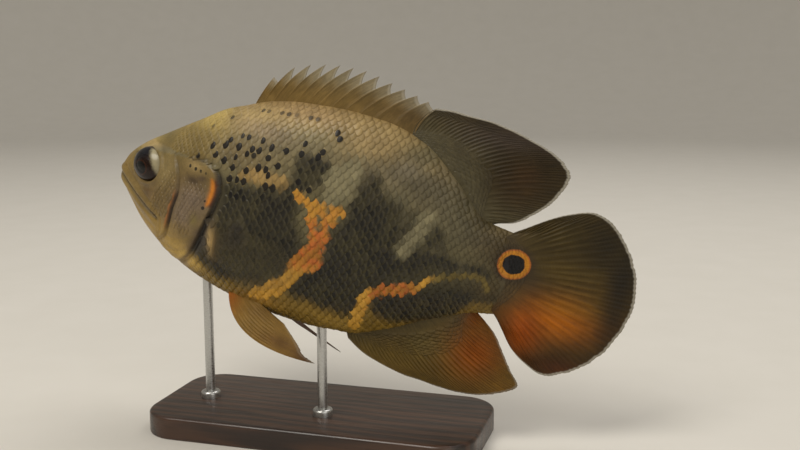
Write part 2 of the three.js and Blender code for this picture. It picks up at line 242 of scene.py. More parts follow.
def relief(s, w, h):
    """Height of the folds, lips, gill covers and sockets over the plain body, in shares of the length."""
    side = smooth(np.abs(w) / (half_width(s) + 1e-6), 0.25, 0.6)
    to_eye = distance(s, h, (EYE_AT[0] + 0.001, EYE_AT[2]), (1.24, 0.95))
    lift = -3.6 * (1 - smooth(to_eye, 0.0345, 0.0395))
    lift += 0.5 * hump(to_eye - 0.0425, 0.0035) - 0.25 * hump(to_eye - 0.054, 0.005)
    mouth = to_chain(MOUTH, s, h)
    lift -= 1.8 * hump(mouth, 0.003) * (1 - smooth(s, 0.188, 0.203))
    lips = 0.6 * hump(mouth - 0.0115, 0.008) + 0.65 * hump(mouth + 0.0125, 0.0085)
    lift += lips * (1 - smooth(s, 0.17, 0.2))
    for line, depth, width in FOLDS:
        lift -= depth * hump(to_chain(line, s, h), width)
    cheek = to_chain(CHEEK_EDGE, s, h)
    cheek_end = smooth(s, 0.15, 0.19)
    before_edge = np.where(cheek < 0, hump(cheek, 0.022), hump(cheek, 0.0012))
    after_edge = np.where(cheek > 0, hump(cheek, 0.013), hump(cheek, 0.0012))
    lift += (0.35 * before_edge - 0.55 * after_edge - 0.5 * hump(cheek - 0.002, 0.0026)) * cheek_end
    gill = to_chain(GILL_EDGE, s, h)
    gill_end = smooth(s, 0.15, 0.19) * smooth(0.115 - h, 0.0, 0.03)
    over = np.where(gill < 0, hump(gill, 0.02), 0)
    under = np.where(gill > 0, hump(gill - 0.0035, 0.006), hump(gill, 0.0008))
    lift += (0.45 * over - 1.5 * under) * gill_end
    throat = smooth(-h, 0.1, 0.13) * smooth(s, 0.17, 0.2) * (1 - smooth(gill, -0.006, 0)) * (cheek > 0)
    lift += 0.22 * np.sin(gill * 2 * np.pi / 0.0095) * throat
    to_nostril = distance(s, h, NOSTRIL)
    lift += 0.3 * hump(to_nostril - 0.0065, 0.0022) - 1.0 * hump(to_nostril, 0.0042)
    lift += 0.5 * hump(distance(s, h, (0.207, -0.02)), 0.03) + 0.4 * hump(distance(s, h, (0.31, 0.01)), 0.035)
    lift += 1.1 * hump(distance(s, h, FIN_BASE, (0.011, 0.034)))
    lift *= side
    ridge = hump(w, 0.013)
    back_ridge = smooth(s, 0.34, 0.42) * (1 - smooth(s, 0.9, 0.95)) * (h > 0)
    belly_ridge = smooth(s, 0.64, 0.7) * (1 - smooth(s, 0.9, 0.95)) * (h < 0)
    return (lift + 1.3 * ridge * (back_ridge + belly_ridge)) * MM


def plain_body(s, angle):
    """Straight-fish places on the plain body; the angle runs round it from the left side up to the back."""
    to_nose = np.clip(s / NOSE_ROUNDING, 0, 1)
    bluntness = np.sqrt(1 - (1 - to_nose) ** 2) * np.sqrt(1 - np.clip((s - 1) / (TAIL_END - 1), 0, 1) ** 2)
    power = np.where(np.sin(angle) > 0, 1.05, 0.9)
    across = np.sign(np.cos(angle)) * np.abs(np.cos(angle)) ** power
    width = half_width(s) * (1 - 0.5 * smooth(s, 0.95, 1.01))
    middle = (back(s) + belly(s)) / 2
    height = (back(s) - belly(s)) / 2 * bluntness * np.sin(angle)
    return np.stack([s + 0 * height, width * across * bluntness, middle + height], -1)


def skin_place(s, angle, lift):
    """Straight-fish places over the folded skin, at a height above it in shares of the length."""
    small = 4e-4
    s = np.clip(s, 0, TAIL_END)
    place = plain_body(s, angle)
    before, after = np.clip(s - small, 0, TAIL_END), np.clip(s + small, 0, TAIL_END)
    along = plain_body(after, angle) - plain_body(before, angle)
    around = plain_body(s, angle + small * 4) - plain_body(s, angle - small * 4)
    normal = np.cross(around, along)
    size = np.linalg.norm(normal, axis=-1, keepdims=True)
    outward = place - np.stack([s, 0 * s, (back(s) + belly(s)) / 2], -1)
    outward[..., 0] = np.where(s < 0.02, -0.02, 0)
    normal = np.where(size > 1e-12, normal / np.maximum(size, 1e-12), 0)
    normal *= np.where((normal * outward).sum(-1, keepdims=True) < 0, -1, 1)
    depth = COAT_DEPTH * smooth(s, 0.2, 0.4) + 0.12 * MM
    height = relief(s, place[..., 1], place[..., 2]) - depth + lift
    return place + normal * height[..., None]


# Colours, named as they look, from 0 to 255 as on a screen
def paint_of(red, green, blue):
    share = np.array([red, green, blue]) / 255
    return np.where(share <= 0.04045, share / 12.92, ((share + 0.055) / 1.055) ** 2.4)


KHAKI = (161, 138, 90)
KHAKI_GREY = (118, 107, 77)
OLIVE_GREY = (98, 90, 62)
BELLY_YELLOW = (122, 97, 38)
THROAT_TAN = (156, 126, 58)
CHEEK_OLIVE = (114, 94, 53)
COVER_GREY = (118, 101, 83)
SLATE = (37, 34, 29)
SLATE_OLIVE = (54, 49, 31)
SLATE_RIM = (80, 74, 48)
# Painted shadow of the pectoral fin on the flank behind its base
PAINTED_FIN_SHADOW = (26, 23, 24)
CREAM = (132, 124, 94)
ORANGE = (172, 112, 38)
FLAME = (182, 100, 42)
AMBER = (198, 148, 56)
TAN = (154, 126, 76)
FIN_DARK = (44, 33, 10)
PALE = (164, 158, 144)


def blend(colour, weight, target):
    return colour + weight[..., None] * (paint_of(*target) - colour)


def dabs(colour, s, h, marks):
    """Soft dabs of paint: along, up, both reaches, red, green, blue and strength in hundredths."""
    for *place, red, green, blue, strength in marks:
        place = np.array(place) / 1000
        weight = strength / 100 * hump(distance(s, h, place[:2], place[2:]))
        colour = blend(colour, weight, (red, green, blue))
    return colour


def ground(places, target):
    return blend(np.zeros(np.shape(places)), np.ones(np.shape(places)[:-1]), target)


HEAD_DABS = (
    (30, 30, 50, 30, 136, 110, 54, 70), (50, -30, 60, 30, 160, 134, 76, 70),
    (120, -50, 50, 25, 132, 108, 56, 60), (190, -5, 35, 30, 108, 88, 54, 60),
    (155, -12, 22, 14, 82, 60, 38, 60), (205, 45, 22, 30, 146, 128, 84, 60),
    # The dab at (90, 90) lightens the forehead over the brow: partly its own paler colour, partly a painted
    # highlight.
    (90, 90, 50, 22, 172, 150, 88, 75), (150, 122, 50, 16, 110, 96, 54, 70),
    (290, 190, 60, 30, 180, 156, 90, 80), (224, 60, 30, 20, 134, 116, 74, 60),
    (302, 84, 30, 12, 162, 138, 90, 90), (315, 12, 50, 36, *COVER_GREY, 100),
    (285, -30, 45, 45, 116, 99, 80, 90), (306, 52, 22, 10, 66, 52, 36, 95),
    (330, 62, 12, 8, 76, 62, 48, 80), (322, -36, 14, 16, 112, 97, 46, 80),
    # The dabs at (250, -125) and (285, -140) brighten the throat: painted light, as if lit from below.
    (300, -85, 30, 16, 108, 88, 42, 70), (250, -125, 50, 22, 178, 146, 68, 80),
    (285, -140, 30, 20, 190, 156, 76, 80),
)
BODY_DABS = (
    (320, 180, 50, 30, 166, 144, 84, 80), (400, 140, 80, 30, 118, 102, 70, 80),
    (450, 195, 90, 20, 140, 122, 98, 60), (560, 205, 70, 30, 118, 112, 84, 60),
    (520, 250, 100, 20, 166, 136, 96, 60), (680, 220, 80, 40, 144, 122, 82, 70),
    (720, 165, 70, 30, 108, 99, 78, 60), (788, 160, 30, 24, 82, 74, 58, 80),
    (748, 115, 30, 26, 82, 78, 60, 70), (755, 184, 26, 20, 122, 113, 94, 80),
    (770, 212, 40, 20, 100, 92, 68, 70), (840, 150, 70, 60, 97, 89, 67, 90),
    (800, 225, 50, 30, 98, 90, 64, 80), (880, 80, 60, 40, 92, 86, 64, 70),
    (930, 70, 40, 20, 86, 78, 58, 60), (890, 135, 40, 40, 78, 72, 50, 80),
    (930, 100, 30, 20, 62, 55, 34, 90), (970, 50, 50, 50, 66, 54, 32, 85),
    (970, -40, 50, 40, 70, 58, 34, 80), (380, -60, 40, 50, 44, 35, 30, 80),
    # The dab at (430, -38) on the next line is the pectoral fin's painted shadow on the flank.
    (388, -4, 14, 20, 92, 80, 46, 90), (430, -38, 28, 42, *PAINTED_FIN_SHADOW, 100), (460, -130, 60, 30, 66, 54, 30, 80),
    # The dab at (310, -145) brightens the throat as well: painted light from below.
    (370, -130, 30, 25, 80, 65, 34, 80), (310, -145, 35, 18, 180, 148, 74, 90),
    # The belly dabs on this line and the next are the belly's own yellow, partly painted light from below.
    (400, -168, 50, 18, 132, 108, 46, 80), (480, -175, 60, 16, 146, 106, 40, 80),
    (600, -175, 80, 18, 134, 106, 40, 80), (670, -185, 40, 14, 150, 120, 52, 90),
    (840, -125, 70, 25, 58, 48, 34, 90), (369, -68, 11, 34, 170, 142, 92, 100),
)
FIN_DABS = {
    "dorsal_fin_spiny": ((114, 92, 50), (
        (450, 270, 200, 25, 116, 92, 46, 70), (750, 290, 100, 40, 84, 67, 40, 80),
        (450, 345, 250, 30, 128, 118, 90, 70),
    )),
    "dorsal_fin_soft": (FIN_DARK, (
        (800, 250, 80, 50, 80, 71, 46, 90), (870, 240, 50, 40, 70, 62, 42, 80),
        (870, 170, 50, 50, 74, 67, 42, 90), (940, 130, 40, 30, 52, 41, 14, 80),
        (990, 150, 50, 60, 52, 34, 8, 80), (1000, 210, 30, 30, 58, 38, 12, 70),
        (950, 280, 100, 25, 66, 56, 50, 60),
    )),
    "anal_fin": ((86, 67, 24), (
        (800, -140, 90, 35, 54, 45, 28, 95), (880, -100, 50, 25, 66, 48, 24, 90),
        (860, -185, 60, 35, 98, 84, 44, 85), (740, -220, 60, 30, 94, 76, 30, 70),
        (970, -190, 60, 60, 128, 64, 4, 90), (950, -110, 30, 30, 108, 56, 6, 80),
        (1050, -260, 40, 25, 112, 78, 20, 70),
    )),
    "tail_fin": ((52, 41, 14), (
        (1020, 60, 50, 50, 74, 61, 30, 80), (1090, 100, 60, 30, 70, 57, 22, 70),
        (1130, 20, 80, 35, 84, 67, 26, 80), (1150, -30, 60, 25, 98, 74, 28, 80),
        (1050, -10, 30, 35, 58, 49, 33, 85), (1030, -50, 30, 30, 86, 68, 34, 80),
        (1130, -85, 90, 45, 158, 88, 6, 100), (1060, -120, 40, 50, 142, 66, 5, 90),
        (1150, -55, 60, 20, 136, 88, 14, 60), (1220, -30, 50, 50, 86, 64, 16, 70),
        (1150, -190, 70, 28, 66, 34, 8, 95), (1250, 0, 35, 150, 28, 22, 11, 90),
        (1200, 100, 60, 60, 38, 30, 12, 80),
    )),
    "pelvic_fin_left": ((132, 102, 46), (
        (410, -190, 30, 40, 150, 84, 24, 90), (560, -250, 50, 16, 96, 66, 28, 80),
        (500, -200, 50, 20, 104, 78, 36, 70), (630, -262, 40, 20, 70, 44, 22, 90),
    )),
    # The right pelvic fin is painted darker than the left: painted shade on the far fin.
    "pelvic_fin_right": ((74, 48, 28), (
        (430, -180, 50, 30, 138, 82, 30, 90),
    )),
    "pectoral_fin": ((92, 82, 52), (
        (375, -70, 30, 50, 166, 138, 88, 90),
    )),
}

# Regions of the flank's pattern, as outlines from the side
SLATE_FRONT = (
    (385, 30), (388, 60), (420, 74), (470, 76), (510, 80), (534, 105), (532, 150), (552, 172), (585, 172),
    (602, 156), (596, 120), (560, 98), (548, 30), (570, -20), (558, -70), (510, -125), (440, -160),
    (380, -150), (340, -125), (352, -80),
)
SLATE_REAR = (
    (610, -60), (630, 15), (655, 75), (665, 135), (684, 168), (700, 150), (720, 115), (765, 98), (815, 82),
    (850, 50), (872, 14), (940, 4), (950, -8), (870, -12), (788, -40), (738, -66), (712, -110), (700, -152),
    (655, -152), (605, -143), (560, -126),
)
SLATE_LOW = (
    (740, -100), (790, -82), (850, -68), (920, -50), (930, -85), (860, -122), (770, -150), (730, -130),
)
CREAM_SLASH = (
    (642, 178), (668, 150), (645, 90), (618, 57), (602, 94), (612, 145),
)
CREAM_STREAK = (
    (770, 5), (784, 8), (800, 45), (822, 88), (812, 96), (788, 60),
)
TAN_PATCH = (
    (412, 100), (430, 114), (456, 118), (490, 117), (522, 113), (526, 94), (506, 83), (478, 82), (450, 86),
    (424, 84),
)
ORANGE_BAR = (
    (542, 89), (556, 95), (566, 82), (588, 79), (612, 75), (648, 76), (650, 62), (638, 54), (640, 38),
    (628, 28), (628, 9), (620, -6), (620, -24), (618, -56), (600, -74), (584, -87), (572, -106),
    (550, -134), (520, -157), (482, -172), (452, -168), (502, -131), (530, -107), (546, -84), (556, -60),
    (572, -36), (586, -20), (588, -4), (584, 18), (578, 34), (574, 54), (560, 66), (546, 70),
)
ORANGE_WAVE = (
    (700, -180), (714, -118), (738, -88), (780, -74), (820, -61), (846, -36), (898, -19), (940, -14),
    (962, -42),
)
WAVE_HALF_WIDTH = curve_through(((0.69, 0.012), (0.74, 0.012), (0.79, 0.013), (0.83, 0.007), (0.96, 0.005)))
BAR_GAPS = (
    (602, 41, 6, 12), (618, 60, 6, 8), (600, 22, 8, 6), (624, 34, 5, 10), (606, -6, 5, 6),
)
# Places where the slate gives way, as (depth, along, up, reach along, reach up), in shares of the length: the
# first lets the pectoral fin's painted shadow show, the others are lighter places.
SLATE_HOLES = (
    (0.08, 0.43, -0.038, 0.03, 0.045), (0.08, 0.369, -0.068, 0.016, 0.042), (0.02, 0.46, -0.13, 0.06, 0.025),
)
OCELLUS = (1.012, 0.022)
SPOT_ROWS = (
    (336, 142, 364, 144, 2, 1.1), (400, 149, 502, 167, 5, 1.0), (546, 171, 570, 170, 2, 1.0),
    (370, 163, 444, 180, 4, 0.7), (604, 230, 610, 213, 2, 0.7), (538, 191, 584, 187, 2, 0.7),
    (348, 121, 376, 121, 2, 1.0), (400, 130, 472, 142, 4, 0.6), (404, 101, 524, 136, 6, 1.0),
    (480, 106, 512, 113, 2, 0.9), (396, 76, 430, 78, 3, 0.9), (448, 69, 504, 88, 4, 1.0),
    (410, 52, 434, 50, 3, 0.6), (552, 104, 610, 90, 3, 0.7), (414, 235, 574, 244, 8, 0.4),
    (300, 110, 300, 110, 1, 0.7), (290, 82, 338, 75, 4, 0.7), (348, 16, 346, 0, 2, 0.8),
    (310, 181, 348, 200, 2, 0.4),
)
SPOTS = []
for *ends, count, weight in SPOT_ROWS:
    first_s, first_h, last_s, last_h = np.array(ends) / 1000
    for share in np.linspace(0, 1, count):
        wander = chance.uniform(-0.0014, 0.0014, 2)
        SPOTS.append((
            first_s + (last_s - first_s) * share + wander[0],
            first_h + (last_h - first_h) * share + wander[1],
            weight * chance.uniform(0.75, 1.1),
        ))


def other_side(s, h, w):
    """The right flank carries the same pattern a little shifted, as a real fish's sides differ."""
    right = (w < 0) * smooth(s, 0.36, 0.46) * (1 - smooth(s, 0.9, 0.97))
    return s + right * 0.016 * np.sin(13 * h + 1), h + right * 0.012 * np.sin(11 * s)


def body_paint(s, w, h):
    """Soft ground colours of the head and body, with painted light and painted shade in places."""
    level = np.clip((h - belly(s)) / (back(s) - belly(s)), 0, 1)
    gill = to_chain(GILL_EDGE, s, h)
    head = np.where(s < 0.4, 1 - smooth(gill, -0.002, 0.003) * (h < 0.1), 0)
    head = head * (1 - smooth(s, 0.3, 0.36) * (h > 0.09))
    places = np.stack([s, w, h], -1)
    # Ground colours by height from belly to back: the fish's own yellow belly and olive flank, with painted
    # shade on the lower flank and painted light on the back, as if lit from above.
    flank = ground(places, BELLY_YELLOW)
    for low, high, target in (
        (0.12, 0.2, SLATE_OLIVE), (0.22, 0.5, OLIVE_GREY), (0.6, 0.78, KHAKI_GREY), (0.8, 0.93, KHAKI),
        (0.96, 1.0, (146, 122, 76)),
    ):
        flank = blend(flank, smooth(level, low, high), target)
    flank = blend(flank, smooth(s, 0.72, 0.95) * 0.55 * smooth(level, 0.3, 0.7), (82, 74, 50))
    flank = dabs(flank, s, h, BODY_DABS)
    flank = blend(flank, smooth(within(TAN_PATCH, s, h), -0.005, 0.004) * 0.9, TAN)
    # The face likewise: partly its own colours, partly painted light, lighter on the throat and on top and
    # darker on the cheek.
    face = ground(places, THROAT_TAN)
    for low, high, target in (
        (0.15, 0.4, CHEEK_OLIVE), (0.6, 0.8, (120, 102, 58)), (0.85, 1.0, (134, 114, 60)),
    ):
        face = blend(face, smooth(level, low, high), target)
    face = dabs(face, s, h, HEAD_DABS)
    cheek = to_chain(CHEEK_EDGE, s, h)
    limb = smooth(h, -0.09, -0.06) * (1 - smooth(h, 0.0, 0.025)) * (np.abs(s - 0.25) < 0.03)
    face = blend(face, limb * hump(cheek + 0.0045, 0.004) * 0.75, (150, 88, 28))
    face = blend(face, hump(cheek - 0.001, 0.003) * (0.3 + 0.6 * limb) * smooth(s, 0.2, 0.24), (30, 22, 18))
    band = smooth(h, 0.0, 0.012) * (1 - smooth(h, 0.062, 0.074)) * (s > 0.33)
    taper = np.sqrt(np.sin(np.pi * np.clip(h / 0.076, 0.01, 0.99)))
    under = smooth(-h, 0.03, 0.06) * (1 - smooth(-h, 0.1, 0.13)) * smooth(s, 0.27, 0.3)
    # Darker along the lower gill edge: partly the dark gill membrane, partly painted shade in the gill
    # opening.
    face = blend(face, under * hump(gill + 0.002, 0.013) * 0.75, (64, 48, 36))
    face = blend(face, band * hump(gill + 0.0035, 0.0045) * 0.95, (78, 30, 12))
    face = blend(face, band * hump((gill + 0.0115) / taper, 0.0068), (192, 116, 34))
    # A thin dark line just behind the gill edge: partly the dark gill membrane, partly painted shade in the
    # gap under the cover.
    face = blend(face, hump(gill - 0.001, 0.003) * smooth(s, 0.24, 0.3), (36, 28, 24))
    mouth = to_chain(MOUTH, s, h)
    # Dark along the mouth slit and in the nostril: painted shade in these hollows.
    face = blend(face, hump(mouth, 0.0044) * (1 - smooth(s, 0.19, 0.205)) * 0.9, (44, 38, 20))
    face = blend(face, hump(distance(s, h, NOSTRIL), 0.004) * 0.8, (44, 36, 26))
    # Dark band on the flank behind the gill edge: partly the dark membrane and shoulder, partly painted shade
    # of the gill opening.
    behind = (gill > 0) * hump(gill - 0.004, 0.014) * smooth(h, -0.13, -0.09) * (1 - smooth(h, 0.075, 0.095))
    behind = behind * (0.85 - 0.5 * hump(h + 0.004, 0.016) * smooth(s, 0.37, 0.385))
    flank = blend(flank, behind, (40, 37, 36))
    return flank + head[..., None] * (face - flank)


def pattern(s, w, h):
    """Depths inside the dark, orange and cream regions, then the spots, the ocellus and the orange's heat."""
    s, h = other_side(s, h, w)
    slate = np.maximum.reduce([within(region, s, h) for region in (SLATE_FRONT, SLATE_REAR, SLATE_LOW)])
    deepest = 0.03 - 0.03 * smooth(s, 0.62, 0.8) * smooth(h, -0.02, 0.03)
    slate = np.minimum(slate, deepest - 0.014 * smooth(h, 0.06, 0.14) * smooth(s, 0.62, 0.66))
    for depth, *hole in SLATE_HOLES:
        slate -= depth * hump(distance(s, h, hole[:2], hole[2:]))
    bar = within(ORANGE_BAR, s, h)
    for gap in np.array(BAR_GAPS) / 1000:
        bar = np.minimum(bar, (distance(s, h, gap[:2], gap[2:]) - 1) * 0.006)
    wave = WAVE_HALF_WIDTH(s) - np.abs(to_chain(smooth_line(ORANGE_WAVE, 32), s, h))
    orange = np.maximum(bar, wave)
    cream = np.maximum(within(CREAM_SLASH, s, h), within(CREAM_STREAK, s, h))
    spot = np.full(np.shape(s), -0.05)
    for along, up, strength in SPOTS:
        if along < 0.36 and strength < 0.85:
            spot = np.maximum(spot, 0.005 * strength - distance(s, h, (along, up)))
    ocellus = distance(s, h, OCELLUS, (1.1, 1))
    heat = np.maximum(smooth(h, -0.1, -0.05), smooth(s, 0.71, 0.74)) * (1 - smooth(s, 0.8, 0.86))
    heat *= 1 - 0.6 * smooth(h, 0.01, 0.06)
    heat -= smooth(s, 0.79, 0.87)
    return np.stack([slate, orange, cream], -1), np.stack([spot, ocellus, heat], -1)


# Mesh making
def new_mesh(name, points, faces):
    mesh = bpy.data.meshes.new(name)
    points = np.asarray(points, np.float32)
    sizes = np.array([len(face) for face in faces])
    corners = np.concatenate(list(faces))
    mesh.vertices.add(len(points))
    mesh.vertices.foreach_set("co", points.ravel())
    mesh.loops.add(len(corners))
    mesh.loops.foreach_set("vertex_index", corners.astype(np.int32))
    mesh.polygons.add(len(sizes))
    starts = np.concatenate([[0], np.cumsum(sizes)[:-1]])
    mesh.polygons.foreach_set("loop_start", starts.astype(np.int32))
    mesh.update(calc_edges=True)
    mesh.validate()
    piece = bpy.data.objects.new(name, mesh)
    bpy.context.scene.collection.objects.link(piece)
    facing_out(piece)
    return piece


def ball(name, segments, rings):
    """Adds a ball of radius 1 and gives its points' places with it."""
    nothing_selected()
    bpy.ops.mesh.primitive_uv_sphere_add(segments=segments, ring_count=rings, radius=1)
    piece = bpy.context.object
    piece.name = name
    places = np.empty(len(piece.data.vertices) * 3, np.float32)
    piece.data.vertices.foreach_get("co", places)
    return piece, *places.reshape(-1, 3).astype(float).T


def moulded(piece, points):
    """Moves a ball's points to their new places."""
    piece.data.vertices.foreach_set("co", points.astype(np.float32).ravel())
    facing_out(piece)


def give(piece, **values):
    """Stores named values on a piece's points: colours, vectors or plain numbers."""
    for name, value in values.items():
        kind, field = "FLOAT", "value"
        if value.ndim == 2:
            colour = name == "paint"
            kind, field = ("FLOAT_COLOR", "color") if colour else ("FLOAT_VECTOR", "vector")
            if colour:
                value = np.concatenate([value, np.ones((len(value), 1))], 1)
        attribute = piece.data.attributes.new(name, kind, "POINT")
        attribute.data.foreach_set(field, np.ascontiguousarray(value, np.float32).ravel())


def give_markings(piece, place, paint, plain=False):
    """Stores the ground paint and the pattern; a plain piece, such as most fins, carries only the ocellus."""
    marks, dots = pattern(*place.T)
    if plain:
        marks[:] = -0.05
        dots[:, 0] = -0.05
    give(piece, paint=np.clip(paint, 0, 1), marks=marks, dots=dots)


def unwrap(piece, places):
    """Gives a piece the bake's map, with a place for each of its points."""
    layer = piece.data.uv_layers.new(name="OFBake")
    corners = np.empty(len(piece.data.loops), np.int32)
    piece.data.loops.foreach_get("vertex_index", corners)
    layer.data.foreach_set("uv", np.asarray(places, np.float32)[corners].ravel())


def nothing_selected():
    bpy.ops.object.select_all(action="DESELECT")


def facing_out(piece):
    piece.data.polygons.foreach_set("use_smooth", np.ones(len(piece.data.polygons), bool))
    nothing_selected()
    bpy.context.view_layer.objects.active = piece
    piece.select_set(True)
    bpy.ops.object.mode_set(mode="EDIT")
    bpy.ops.mesh.select_all(action="SELECT")
    bpy.ops.mesh.normals_make_consistent(inside=False)
    bpy.ops.object.mode_set(mode="OBJECT")


def belongs(piece, slot, *nodes):
    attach(piece, "root")
    if nodes:
        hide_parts(*nodes)


# Materials
class Tree:
    """Adds nodes to a material or a node group and joins them up."""

    def __init__(self, tree):
        self.tree = tree

    def feed(self, socket, value):
        if isinstance(value, bpy.types.NodeSocket):
            self.tree.links.new(value, socket)
        else:
            socket.default_value = value

    def node(self, kind, inputs=(), **settings):
        """Adds a node with its settings, then its inputs, since some settings make the inputs."""
        made = self.tree.nodes.new("ShaderNode" + kind)
        for name, value in settings.items():
            setattr(made, name, value)
        for key, value in dict(inputs).items():
            self.feed(made.inputs[key], value)
        return made

    def math(self, operation, a, b=0.0, clamp=False):
        return self.node("Math", {0: a, 1: b}, operation=operation, use_clamp=clamp).outputs[0]

    def plus(self, a, b, clamp=False):
        return self.math("ADD", a, b, clamp)

    def minus(self, a, b):
        return self.math("SUBTRACT", a, b)

    def times(self, a, b):
        return self.math("MULTIPLY", a, b)

    def mix(self, factor, a, b):
        """Mixes two colours, each from another node or given from 0 to 255."""
        a, b = [(*paint_of(*c), 1.0) if isinstance(c, tuple) else c for c in (a, b)]
        return self.node("Mix", {0: factor, 6: a, 7: b}, data_type="RGBA").outputs[2]

    def brightened(self, colour, value):
        return self.node("HueSaturation", {"Color": colour, "Value": value}).outputs["Color"]

    def flat(self, x, y):
        return self.node("CombineXYZ", {0: x, 1: y}).outputs[0]

    def length(self, x, y):
        return self.node("VectorMath", {0: self.flat(x, y)}, operation="LENGTH").outputs["Value"]

    def stretched(self, place, scale):
        return self.node("Mapping", {"Vector": place, "Scale": scale}).outputs[0]

    def step(self, value, low, high, start=0.0, end=1.0):
        inputs = {"Value": value, "From Min": low, "From Max": high, "To Min": start, "To Max": end}
        return self.node("MapRange", inputs, interpolation_type="SMOOTHSTEP").outputs["Result"]

    def attribute(self, name, output="Fac"):
        return self.node("Attribute", attribute_name=name).outputs[output]

    def parts(self, vector):
        return self.node("SeparateXYZ", {0: vector}).outputs

    def object_place(self):
        return self.node("TexCoord").outputs["Object"]

    def noise(self, place, scale, detail=2.0):
        return self.node("TexNoise", {"Vector": place, "Scale": scale, "Detail": detail}).outputs["Fac"]

    def bump(self, height, strength, distance):
        inputs = {"Height": height, "Strength": strength, "Distance": distance}
        return self.node("Bump", inputs).outputs["Normal"]

    def marked(self, markings, wander, mottling):
        """The colour with the fish's markings, and how dark a region it is in."""
        inputs = {"Edge Wander": wander, "Mottling": mottling}
        return self.node("Group", node_tree=markings, inputs=inputs).outputs

    def dress(self, colour, roughness, normal):
        for name, value in (("Base Color", colour), ("Roughness", roughness), ("Normal", normal)):
            self.feed(self.surface[name], value)


def new_group(name, inputs, outputs):
    tree = bpy.data.node_groups.new(name, "ShaderNodeTree")
    for way, sockets in (("INPUT", inputs), ("OUTPUT", outputs)):
        for socket, kind in sockets.items():
            tree.interface.new_socket(name=socket, in_out=way, socket_type="NodeSocket" + kind)
    given = tree.nodes.new("NodeGroupInput").outputs
    return tree, Tree(tree), given, tree.nodes.new("NodeGroupOutput").inputs


def new_material(name, **settings):
    material = bpy.data.materials.new(name)
    material.use_nodes = True
    tree = Tree(material.node_tree)
    tree.surface = material.node_tree.nodes["Principled BSDF"].inputs
    for socket, value in settings.items():
        tree.surface[socket.replace("_", " ")].default_value = value
    return material, tree


def markings_group():
    tree, t, given, out = new_group(
        "oscar_markings", {"Edge Wander": "Float", "Mottling": "Float"}, {"Color": "Color", "Dark": "Float"}
    )
    place = t.object_place()
    fine = t.noise(place, 420.0, 3.0)
    broad = t.noise(place, 95.0, 2.0)
    wander = t.times(t.minus(fine, 0.5), given["Edge Wander"])
    broad_wander = t.times(t.minus(broad, 0.5), 0.05)
    slate, orange, cream = t.parts(t.attribute("marks", "Vector"))
    spot, ocellus, heat = t.parts(t.attribute("dots", "Vector"))
    colour = t.attribute("paint", "Color")
    slate_depth = t.plus(t.plus(slate, wander), broad_wander)
    slate_mask = t.step(slate_depth, -0.014, 0.012)
    slate_colour = t.mix(t.step(broad, 0.4, 0.65), SLATE, SLATE_OLIVE)
    colour = t.mix(t.times(slate_mask, 0.9), colour, slate_colour)
    cream_mask = t.step(t.plus(cream, broad_wander), -0.014, 0.006)
    colour = t.mix(t.times(cream_mask, 0.85), colour, CREAM)
    orange_mask = t.step(t.plus(orange, wander), -0.003, 0.002)
    warm = t.mix(t.step(fine, 0.4, 0.62), ORANGE, FLAME)
    orange_colour = t.mix(t.step(heat, 0.0, 1.0), AMBER, warm)
    orange_colour = t.mix(t.step(heat, 0.0, -1.0), orange_colour, (108, 92, 44))
    colour = t.mix(t.times(orange_mask, 0.92), colour, orange_colour)
    spot_mask = t.step(t.plus(spot, t.times(wander, 0.35)), -0.0012, 0.0008)
    colour = t.mix(t.times(spot_mask, 0.94), colour, (24, 20, 16))
    around = t.plus(ocellus, t.times(wander, 0.5))
    colour = t.mix(t.step(around, 0.05, 0.034), colour, (60, 48, 30))
    colour = t.mix(t.step(around, 0.0345, 0.0315), colour, (166, 96, 40))
    colour = t.mix(t.step(around, 0.0315, 0.029), colour, (186, 122, 34))
    colour = t.mix(t.step(around, 0.023, 0.0205), colour, (14, 13, 16))
    speck = t.noise(place, 1500.0, 2.0)
    mottle = t.times(t.minus(t.plus(speck, fine), 1.0), given["Mottling"])
    mottle = t.plus(mottle, t.step(broad, 0.3, 0.7, -0.1, 0.1))
    t.feed(out["Color"], t.brightened(colour, t.plus(mottle, 1.0)))
    bright = t.math("MAXIMUM", orange_mask, t.times(cream_mask, 0.7))
    t.feed(out["Dark"], t.times(slate_mask, t.minus(1.0, bright)))
    return tree


def skin_material(markings):
    material, t = new_material("oscar_skin", Specular_IOR_Level=0.3, Coat_Weight=0.08)
    marked = t.marked(markings, 0.016, 0.5)
    place = t.object_place()
    grain = t.noise(place, 1300.0, 3.0)
    pores = t.node("TexVoronoi", {"Vector": place, "Scale": 700.0}).outputs["Distance"]
    height = t.plus(grain, t.times(t.step(pores, 0.0, 0.35), 0.6))
    t.dress(marked["Color"], t.step(grain, 0.2, 0.8, 0.36, 0.56), t.bump(height, 0.35, 0.00025))
    return material


